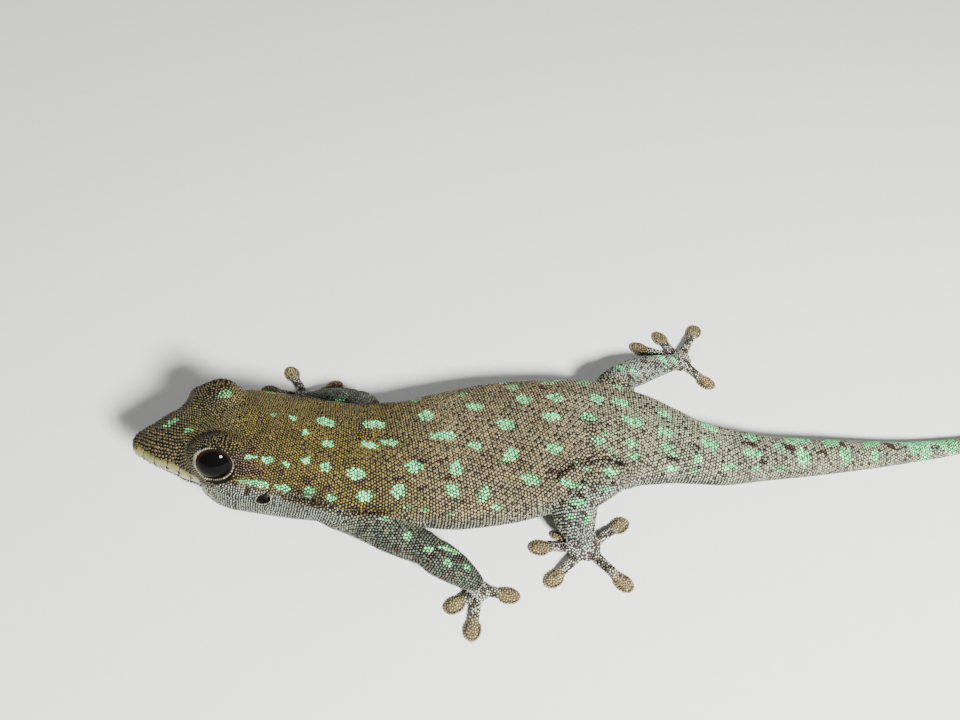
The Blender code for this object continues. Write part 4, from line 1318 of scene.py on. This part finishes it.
x = places[:, 0]
left = places[:, 1] < middle_of(x)[:, 1]
group = np.full(len(places), "", dtype=object)
cuts = (*HEAD_CUTS, *BODY_CUTS)
names = ("scales_snout", "scales_brow", "scales_cheek", "scales_neck", "scales_shoulder",
         "scales_back", "scales_loin", "scales_hip", "scales_tail")
for name, first, last in zip(names, (-99, *cuts), (*cuts, 99)):
    group[(x >= first) & (x < last)] = name
off = masks["limb"] + masks["pad"] > 0.5
for limb in LIMBS:
    front = "arm" in limb
    mine = off & (left == ("left" in limb)) & ((x < 5.8) == front)
    group[mine] = "scales_" + limb


def part_of(seats, chosen):
    """The same seats with only the chosen ones."""
    picked = {key: value[chosen] for key, value in seats.items() if key != "masks"}
    picked["masks"] = {key: value[chosen] for key, value in seats["masks"].items()}
    return picked


coat = []
for name in sorted(set(group)):
    coat.append(copies(name, scale, part_of(seats, group == name)))
    print(name, len(coat[-1].data.polygons), "faces")

# %% [markdown]
# A day gecko has no eyelids that close. A clear scale covers the eye, and round it stands
# a close ring of small cream beads. The eye itself looks black, with a dark brown iris
# round a large pupil. Each eye here is a ball whose corners know their angle from the
# line of sight, so that the iris is painted without any picture.

# %% Eyes
IRIS_ANGLE = 50.0
PUPIL_ANGLE = 36.0
# The ball is flattened by this share, from the first to the second of these angles on
EYE_FLATTENED = 0.2
FLATTENED_FROM = (52, 80)

eyes = []
for name, side in (("eye_left", 1), ("eye_right", -1)):
    bm = bmesh.new()
    bmesh.ops.create_uvsphere(bm, u_segments=64, v_segments=32, radius=EYE_SPHERE)
    mesh = mesh_of(bm, name.replace("_", "ball_"))
    local = array_of(mesh)
    angle = np.degrees(np.arccos(np.clip(local[:, 2] / EYE_SPHERE, -1, 1)))
    set_values(mesh, "angle", angle)
    set_values(mesh, "turn", (np.degrees(np.arctan2(local[:, 1], local[:, 0])) / 360) % 1)
    local *= (1 - EYE_FLATTENED * smoothstep(*FLATTENED_FROM, angle))[:, None]
    local[:, 2] -= EYE_SUNK
    set_points(mesh, local @ eye_axes(side).T + eye_centre(side))
    mesh.shade_smooth()
    made = new_object(mesh.name, mesh)
    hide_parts(name)
    eyes.append(made)
print("eyes:", [made.name for made in eyes])

# %% Beads round the eyes and ears
# Half length, half width and height of a bead, and how far its ring lies off the edge
LID_BEADS = 58
LID_BEAD = (0.25, 0.125, 0.10)
LID_BEAD_OFF = 0.13
EAR_BEADS = 20
EAR_BEAD = (0.10, 0.13, 0.07)
# The ear's ring is this much longer and higher than its pit
EAR_RING = (1.12, 1.2)
# The ear faces out and a little up, and its top leans back
EAR_FACES_UP = 0.15
EAR_TOP = (-0.34, 0.0, 1.0)
# How far beads lean outwards, in radians, how far off the skin they may start, how much
# they differ in size, and the radius that unrolls them on the bake map
LID_LEAN, EAR_LEAN = 0.35, 0.2
BEAD_REACH = 1.5
BEAD_SPREAD = (0.92, 1.08)
BEAD_RADIUS = 5.5


def bead_seats(places, normals, ways, size, **values):
    """Seats for beads given one by one, with masks that are the same for all."""
    count = len(places)
    chosen = {key: np.full(count, values.get(key, 0.0)) for key in masks}
    chosen["tone"] = dice.random(count)
    return {
        "place": np.array(places),
        "normal": np.array(normals),
        "way": np.array(ways),
        "size": np.array(size) * dice.uniform(*BEAD_SPREAD, (count, 1)),
        "bake": np.clip(unrolled(np.array(places), BEAD_RADIUS), *MAP_EDGES),
        "masks": chosen,
    }


def ring_of_beads(centre, axes, radii, count, lift, lean):
    """Places, normals and ways of beads on an oval ring, leaning outwards by an angle."""
    turns = (np.arange(count) + 0.5) / count * 2 * math.pi
    flat = np.stack([np.cos(turns) * radii[0], np.sin(turns) * radii[1], np.full(count, lift)], 1)
    outward = unit(np.stack([np.cos(turns), np.sin(turns), np.zeros(count)], 1))
    normal = outward * math.sin(lean) + np.array((0, 0, 1.0)) * math.cos(lean)
    return flat @ axes.T + centre, normal @ axes.T, outward @ axes.T


beads = []
for side in (1, -1):
    axes, centre = eye_axes(side), eye_centre(side)
    rim = math.sqrt(EYE_SPHERE**2 - EYE_OPENING**2) - EYE_SUNK
    radii = (EYE_OPENING + LID_BEAD_OFF,) * 2
    spots, normal, way = ring_of_beads(centre, axes, radii, LID_BEADS, rim, LID_LEAN)
    near, _, _ = on_skin(spots, BEAD_REACH)
    beads.append(bead_seats(near, normal, way, [LID_BEAD] * LID_BEADS, pale=0.5, gold=0.6))
    ear = side_point(EAR[0], side, EAR[1])
    out, top = unit(np.array((0.0, -side, EAR_FACES_UP))), np.array(EAR_TOP)
    up = unit(top - out * (top @ out))
    axes = np.stack([np.cross(up, out), up, out], 1)
    radii = np.multiply(EAR_HALF, EAR_RING)
    spots, _, way = ring_of_beads(ear, axes, radii, EAR_BEADS, 0.0, EAR_LEAN)
    near, normal, _ = on_skin(spots, BEAD_REACH)
    beads.append(bead_seats(near, normal, way, [EAR_BEAD] * EAR_BEADS, pale=0.6, gold=0.5))


def joined_seats(parts):
    """One set of seats from several."""
    whole = {key: np.vstack([p[key] for p in parts]) for key in parts[0] if key != "masks"}
    whole["masks"] = {key: np.concatenate([p["masks"][key] for p in parts]) for key in masks}
    return whole


coat.append(copies("lid_and_ear_beads", scale, joined_seats(beads)))
print("beads:", sum(len(part["place"]) for part in beads))

# %% [markdown]
# The labials are smooth plates that hold the edge of the mouth, eight above and eight
# below on each side with one at the tip of the snout. Each is a ball squared off into a
# pillow and laid along the mouth, and then dropped onto the skin.

# %% Labial plates
PLATES_EACH_SIDE = 8
PLATE_BULGE = 0.07
PLATE_ROOT = 0.1
PLATE_GAP = 0.035
PLATE_STEPS = 4
# The plates get longer towards the corners of the mouth and end this far before them
MOUTH_CORNER = 0.9
PLATE_CROWDING = 0.92

rises = []


def plate(first, last, above):
    """One pillow between two distances along the mouth, above or below it."""
    bm = bmesh.new()
    bmesh.ops.create_uvsphere(bm, u_segments=20, v_segments=10, radius=1.0)
    mesh = mesh_of(bm, "plate")
    ball = array_of(mesh)
    across, over = (np.sign(flat) * np.abs(flat) ** 0.5 for flat in ball.T[:2])
    bulge = ball[:, 2] * np.where(ball[:, 2] > 0, PLATE_BULGE, PLATE_ROOT)
    side = 1 if above else -1
    way = (first + last) / 2 + across * (last - first - PLATE_GAP) / 2
    tall = lip_height(way / mouth_steps[-1], above) * (0.5 + 0.5 * over) + 0.03
    near, ahead = (
        np.stack([np.interp(stops, mouth_steps, mouth[:, k]) for k in range(3)], 1)
        for stops in (way, way + 0.1)
    )
    along = unit(ahead - near)
    for _ in range(PLATE_STEPS):
        _, normal, _ = on_skin(near, 2.0)
        upward = unit(np.cross(normal, along))
        upward *= np.sign(upward[:, 2:]) * side
        near, _, _ = on_skin(near + upward * tall[:, None] / PLATE_STEPS, 2.0)
    _, normal, _ = on_skin(near, 2.0)
    rises.append(side * (0.5 + 0.5 * over))
    set_points(mesh, near + normal * bulge[:, None])
    return mesh


bm = bmesh.new()
half = mouth_steps[-1] / 2 - MOUTH_CORNER
away = half * np.linspace(0.06, 1, PLATES_EACH_SIDE + 1) ** PLATE_CROWDING
edges = np.concatenate([mouth_middle - away[::-1], mouth_middle + away])
for above in (True, False):
    for first, last in zip(edges, edges[1:]):
        mesh = plate(first, last, above)
        bm.from_mesh(mesh)
        bpy.data.meshes.remove(mesh)
bmesh.ops.recalc_face_normals(bm, faces=bm.faces)
mesh = mesh_of(bm, "labials")
mesh.shade_smooth()
set_values(mesh, "rise", np.concatenate(rises))
labials = new_object("labials", mesh)
print("labial plates:", (2 * PLATES_EACH_SIDE + 1) * 2)

# %% [markdown]
# Under each toe a pad of broad lamellae clings to the leaf. From above only their ends
# show, as a scalloped rim of small tan scales round the pad. Both are made from the same
# dome: round ones for the rim and long flat ones side by side underneath.

# %% Rims and lamellae of the toe pads
# The first toe is short and has a small pad: its half sizes, rim scales and lamellae
SMALL_PAD = (0.55, 0.4, 12, 4)
LARGE_PAD = (PAD_LENGTH / 2, PAD_WIDTH / 2, 22, 9)
RIM_SCALE = (0.17, 0.17, 0.15)
RIM_HEIGHT = 0.20
RIM_LEAN = 1.25
LAMELLA_HEIGHT = 0.06
LAMELLA_LONG, LAMELLA_DEEP = 0.17, 0.05
DOWN = np.array((0.0, 0.0, -1.0))

rims, soles = [], []
for limb, pads in TOES.items():
    for digit, pad in enumerate(pads):
        long_half, wide_half, rim_scales, lamellae = LARGE_PAD if digit else SMALL_PAD
        forward = unit(np.array((*pad, 0.0)) - np.array((*palms[limb], 0.0)))
        axes = np.stack([forward, np.cross(-DOWN, forward), -DOWN], 1)
        centre = np.array((*pad, RIM_HEIGHT))
        radii = (long_half * 0.95, wide_half * 0.97)
        spots, normal, way = ring_of_beads(centre, axes, radii, rim_scales, 0.0, RIM_LEAN)
        keep = (spots - centre) @ forward > -long_half * 0.7
        spots, normal, way = spots[keep], normal[keep], way[keep]
        sizes = [RIM_SCALE] * len(spots)
        rims.append(bead_seats(spots, normal, np.cross(normal, way), sizes, pad=1.0))
        along = np.linspace(-0.7, 0.75, lamellae)
        spots = centre + forward * (along * long_half)[:, None]
        spots[:, 2] = LAMELLA_HEIGHT
        sizes = [(LAMELLA_LONG, wide, LAMELLA_DEEP) for wide in wide_half * np.sqrt(1 - along**2)]
        down, ahead = np.tile(DOWN, (lamellae, 1)), np.tile(forward, (lamellae, 1))
        soles.append(bead_seats(spots, down, ahead, sizes, pad=1.0))
coat.append(copies("pad_rims", scale, joined_seats(rims)))
coat.append(copies("pad_lamellae", scale, joined_seats(soles)))
print("rim scales:", sum(len(r["place"]) for r in rims), "lamellae:", sum(len(s["place"]) for s in soles))

# %% Masks for the skin itself
points, normals = in_table(array_of(skin.data)), array_of(skin.data, "normal")
for key, values in markings(points, normals, np.zeros(len(points))).items():
    set_values(skin.data, key, values)
print("skin carries", [a.name for a in skin.data.attributes if a.data_type == "FLOAT"])

# %% [markdown]
# Colours are given as on a colour chart and turned to the linear values that Blender
# uses. One function adds a node, sets it and links it, and every material is written
# with it.

# %% Colours and nodes
TAUPE = "#6d6347"
# Each colour is laid over the ones before it where the mask of its name says so: an
# olive-brown animal with a greyer tail and limbs, a pale belly and mint-green spots,
# with its dark brown also laid as painted shade in the folds and ear pits
COAT_COLOURS = {
    "gold": "#4e420c", "olive": "#38330a", "tail": "#80846a", "limb": "#7d8475", "arm": "#434c3c",
    "foot": "#adae9b", "pale": "#797f72", "pad": "#827553", "brown_and_painted_shade": "#2f1d0b", "green": "#6fce84",
}


def hex_colour(code):
    """An sRGB hex value such as #8f8069 as a linear colour."""
    parts = [int(code[i : i + 2], 16) / 255 for i in (1, 3, 5)]
    return (*[p / 12.92 if p <= 0.04045 else ((p + 0.055) / 1.055) ** 2.4 for p in parts], 1.0)


def set_inputs(tree, node, inputs):
    """A value or a link for each named input of a node."""
    for key, value in inputs.items():
        if isinstance(value, bpy.types.NodeSocket):
            tree.links.new(value, node.inputs[key])
        else:
            node.inputs[key].default_value = value


def add_node(tree, kind, inputs=None, **settings):
    """A new shader node with its settings and inputs."""
    made = tree.nodes.new("ShaderNode" + kind)
    for key, value in settings.items():
        setattr(made, key, value)
    set_inputs(tree, made, inputs or {})
    return made


def set_ramp(node, stops):
    """Gives a colour ramp its stops, pairs of place and colour in order."""
    made = node.color_ramp.elements
    for end, (at, colour) in zip(made, (stops[0], stops[-1])):
        end.position, end.color = at, colour
    for at, colour in stops[1:-1]:
        made.new(at).color = colour


def new_material(name):
    material = bpy.data.materials.new(name)
    material.use_nodes = True
    return material, material.node_tree, material.node_tree.nodes["Principled BSDF"]


def painted(tree):
    """The colour of skin or scales from their masks, as a node's output."""
    colour = hex_colour(TAUPE)
    for mask, code in COAT_COLOURS.items():
        value = add_node(tree, "Attribute", attribute_name=mask).outputs["Fac"]
        mix = add_node(tree, "Mix", {0: value, 6: colour, 7: hex_colour(code)}, data_type="RGBA")
        colour = mix.outputs[2]
    return colour


print("colours of the coat:", TAUPE, *COAT_COLOURS.values())

# %% [markdown]
# Scales are keratin: smooth, hard and a little glossy, so each one carries a small
# glint. Their sides are painted darker, a painted shade that draws the dark net between
# them, and their tops a little lighter, a painted highlight. Every scale has its own tone,
# and some brown ones lean to rust.

# %% Material of the scales
# Noise to the metre: clouds of tone about 2.4 mm wide, and specks of 0.11 mm on a scale
CLOUDS = 420.0
SPECKS = 9000.0
RUST = "#57432b"
BLACK = "#17120d"
# Grey of a scale by its own random tone
FLECKS = ((0.0, 0.22), (0.12, 0.38), (0.5, 0.52), (0.85, 0.64), (1.0, 0.95))

material, tree, shader = new_material("keratin_scales")
place = add_node(tree, "TexCoord").outputs["Object"]
tone, dark, height, green, brown_and_painted_shade, pad = [
    add_node(tree, "Attribute", attribute_name=name).outputs["Fac"]
    for name in ("tone", "dark", "height", "green", "brown_and_painted_shade", "pad")
]
# Rust, where no spot is
rust = add_node(tree, "MapRange", {0: tone, 1: 0.75, 2: 1.0, 3: 0.0, 4: 0.35}).outputs[0]
marked = add_node(tree, "Math", {0: green, 1: brown_and_painted_shade}, operation="MAXIMUM").outputs[0]
calm = add_node(tree, "Math", {0: 1.0, 1: marked}, operation="SUBTRACT").outputs[0]
rust = add_node(tree, "Math", {0: rust, 1: calm}, operation="MULTIPLY").outputs[0]
colour = add_node(tree, "Mix", {0: rust, 6: painted(tree), 7: hex_colour(RUST)}, data_type="RGBA")
# Light and dark by the scale's tone and the clouds, and painted shade by the height on the scale
flecks = add_node(tree, "ValToRGB", {0: tone})
set_ramp(flecks, [(at, (grey, grey, grey, 1)) for at, grey in FLECKS])
clouds = add_node(tree, "TexNoise", {"Vector": place, "Scale": CLOUDS, "Detail": 4.0}).outputs["Fac"]
clouds = add_node(tree, "MapRange", {0: clouds, 1: 0.3, 2: 0.7, 3: 1.4, 4: 2.4}).outputs[0]
value = add_node(tree, "Math", {0: flecks.outputs[0], 1: clouds}, operation="MULTIPLY").outputs[0]
# Painted shade darkens each scale towards its base, less on pads; a painted highlight lifts its top
darkest_painted_shade = add_node(tree, "MapRange", {0: pad, 1: 0.0, 2: 1.0, 3: 0.04, 4: 0.3}).outputs[0]
depth = add_node(tree, "MapRange", {0: height, 1: 0.6, 2: 1.0, 3: darkest_painted_shade, 4: 1.15}).outputs[0]
value = add_node(tree, "Math", {0: value, 1: depth}, operation="MULTIPLY").outputs[0]
toned = add_node(tree, "HueSaturation", {"Value": value, "Color": colour.outputs[2]}).outputs[0]
speck = add_node(tree, "TexNoise", {"Vector": place, "Scale": SPECKS, "Detail": 3.0}).outputs["Fac"]
mottled = add_node(tree, "MapRange", {0: speck, 1: 0.3, 2: 0.7, 3: 0.88, 4: 1.1}).outputs[0]
toned = add_node(tree, "HueSaturation", {"Value": mottled, "Color": toned}).outputs[0]
toned = add_node(tree, "Mix", {0: dark, 6: toned, 7: hex_colour(BLACK)}, data_type="RGBA").outputs[2]
rough = add_node(tree, "MapRange", {0: speck, 1: 0.3, 2: 0.7, 3: 0.38, 4: 0.50}).outputs[0]
finish = {"Base Color": toned, "Roughness": rough, "IOR": 1.55, "Specular IOR Level": 0.3}
set_inputs(tree, shader, finish)
for made in coat:
    made.data.materials.append(material)
print("scales painted:", len(coat), "pieces")

# %% [markdown]
# The skin between the scales is the same colour, darkened nearly to black by painted
# shade, and matt, with fine creases. On lips and inside the ear it is bare.

# %% Material of the bare skin
# Cells of skin to the metre, 0.22 mm wide, and the depth of the creases in metres
CREASES = 4500.0
CREASE_DEPTH = 0.00004

material, tree, shader = new_material("bare_reptile_skin")
place = add_node(tree, "TexCoord").outputs["Object"]
pad = add_node(tree, "Attribute", attribute_name="pad").outputs["Fac"]
cells = add_node(tree, "TexVoronoi", {"Vector": place, "Scale": CREASES}, feature="DISTANCE_TO_EDGE")
edge = cells.outputs["Distance"]
# Painted shade: the skin is darkened to a few hundredths of its colour, up to four times less on the pads
shade = add_node(tree, "MapRange", {0: edge, 1: 0.0, 2: 0.2, 3: 0.04, 4: 0.09}).outputs[0]
less_painted_shade_on_pads = add_node(tree, "MapRange", {0: pad, 1: 0.0, 2: 1.0, 3: 1.0, 4: 4.0}).outputs[0]
shade = add_node(tree, "Math", {0: shade, 1: less_painted_shade_on_pads}, operation="MULTIPLY").outputs[0]
painted_shade_colour = add_node(tree, "HueSaturation", {"Value": shade, "Color": painted(tree)}).outputs[0]
bump = add_node(tree, "Bump", {"Strength": 0.5, "Distance": CREASE_DEPTH, "Height": edge}).outputs[0]
finish = {"Base Color": painted_shade_colour, "Normal": bump, "Roughness": 0.8, "Specular IOR Level": 0.1}
set_inputs(tree, shader, finish)
skin.data.materials.append(material)
print("bare skin painted")

# %% [markdown]
# The labials are smooth, faintly glossy plates. They are a pale grey below the mouth and
# a darker olive above it.

# %% Material of the labials
# Noise to the metre, 1.1 mm wide
PLATE_CLOUDS = 900.0
# From the lowest edge of the lower plates to the highest of the upper ones
PLATE_COLOURS = ((0.2, "#888a74"), (0.55, "#706f47"), (0.82, "#59572d"), (0.98, "#3f3c17"))

material, tree, shader = new_material("smooth_labial_plates")
place = add_node(tree, "TexCoord").outputs["Object"]
rise = add_node(tree, "Attribute", attribute_name="rise").outputs["Fac"]
rise = add_node(tree, "MapRange", {0: rise, 1: -1.0, 2: 1.0}).outputs[0]
ramp = add_node(tree, "ValToRGB", {0: rise})
set_ramp(ramp, [(at, hex_colour(code)) for at, code in PLATE_COLOURS])
cloud = add_node(tree, "TexNoise", {"Vector": place, "Scale": PLATE_CLOUDS, "Detail": 4.0}).outputs["Fac"]
shade = add_node(tree, "MapRange", {0: cloud, 1: 0.3, 2: 0.7, 3: 0.75, 4: 1.15}).outputs[0]
colour = add_node(tree, "HueSaturation", {"Value": shade, "Color": ramp.outputs[0]}).outputs[0]
set_inputs(tree, shader, {"Base Color": colour, "Roughness": 0.38, "IOR": 1.5})
labials.data.materials.append(material)
print("labials painted")

# %% [markdown]
# The eye is wet and very glossy. Under the clear scale the pupil is black and the iris a
# dark chestnut with fine rays.

# %% Material of the eyes
PUPIL = "#060505"
IRIS = ("#0d0a08", "#1f120b")
# The rays of the iris are noise drawn out from pupil to rim and fine round the turn
RAYS = (0.12, 40.0, 1.0)

material, tree, shader = new_material("wet_dark_eye")
angle, turn = [
    add_node(tree, "Attribute", attribute_name=name).outputs["Fac"] for name in ("angle", "turn")
]
rays = add_node(tree, "CombineXYZ", {"X": angle, "Y": turn}).outputs[0]
rays = add_node(tree, "Mapping", {"Vector": rays, "Scale": RAYS}).outputs[0]
streaks = add_node(tree, "TexNoise", {"Vector": rays, "Scale": 2.0, "Detail": 4.0}).outputs["Fac"]
shades = {0: streaks, 6: hex_colour(IRIS[0]), 7: hex_colour(IRIS[1])}
iris = add_node(tree, "Mix", shades, data_type="RGBA").outputs[2]
inner, outer = [
    add_node(tree, "MapRange", {0: angle, 1: out, 2: full}, interpolation_type="SMOOTHSTEP").outputs[0]
    for out, full in ((PUPIL_ANGLE - 2, PUPIL_ANGLE + 2), (IRIS_ANGLE, IRIS_ANGLE - 6))
]
shown = add_node(tree, "Math", {0: inner, 1: outer}, operation="MULTIPLY").outputs[0]
colour = add_node(tree, "Mix", {0: shown, 6: hex_colour(PUPIL), 7: iris}, data_type="RGBA").outputs[2]
finish = {"Base Color": colour, "Roughness": 0.04, "IOR": 1.34, "Specular IOR Level": 0.09}
set_inputs(tree, shader, finish)
for made in eyes:
    made.data.materials.append(material)
print("eyes painted")

# %% [markdown]
# The gecko rests on a plain pale floor. One soft light stands high on the right in
# front, as in the photo, with a weak one at the back left and a pale room round it.

# %% Floor and lights
# Noise to the metre, 1.4 mm wide
PAPER_GRAIN = 700.0
PAPER = ("#cfcfcb", "#d6d6d2")
# Place and side in metres, and power in watts
LIGHTS = {
    "key": ((0.100, -0.205, 0.200), 0.05, 5.0),
    "fill": ((-0.30, 0.20, 0.30), 0.30, 0.7),
}
LIT_POINT = (0, 0, 0.005)
ROOM, ROOM_STRENGTH = "#e6eaee", 0.22

bm = bmesh.new()
bmesh.ops.create_grid(bm, x_segments=1, y_segments=1, size=1.0)
floor = new_object("floor", mesh_of(bm, "floor"))
material, tree, shader = new_material("matt_studio_paper")
place = add_node(tree, "TexCoord").outputs["Object"]
grain = add_node(tree, "TexNoise", {"Vector": place, "Scale": PAPER_GRAIN, "Detail": 2.0}).outputs["Fac"]
shades = {0: grain, 6: hex_colour(PAPER[0]), 7: hex_colour(PAPER[1])}
paper = add_node(tree, "Mix", shades, data_type="RGBA").outputs[2]
set_inputs(tree, shader, {"Base Color": paper, "Roughness": 0.9})
floor.data.materials.append(material)

for name, (place, side, power) in LIGHTS.items():
    lamp = bpy.data.lights.new(name, "AREA")
    lamp.size, lamp.energy = side, power
    made = new_object(name, lamp)
    made.location = place
    made.rotation_euler = (Vector(LIT_POINT) - Vector(place)).to_track_quat("-Z", "Y").to_euler()
world = bpy.data.worlds.new("pale_room")
world.use_nodes = True
room = {"Color": hex_colour(ROOM), "Strength": ROOM_STRENGTH}
set_inputs(world.node_tree, world.node_tree.nodes["Background"], room)
bpy.context.scene.world = world
print("lights set:", *LIGHTS)

# %% [markdown]
# Last, every piece is tied to the frame, and the solids are hidden.

# %% Tie the pieces to the frame
pieces = (skin, labials, *coat, *eyes)
for made in pieces:
    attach(made, "root")
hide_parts(*FLESH_NODES)
triangles = sum(len(face.vertices) - 2 for made in pieces for face in made.data.polygons)
print("pieces:", len(pieces), "triangles:", triangles)

# %% Bring the scene up to date
bpy.context.view_layer.update()
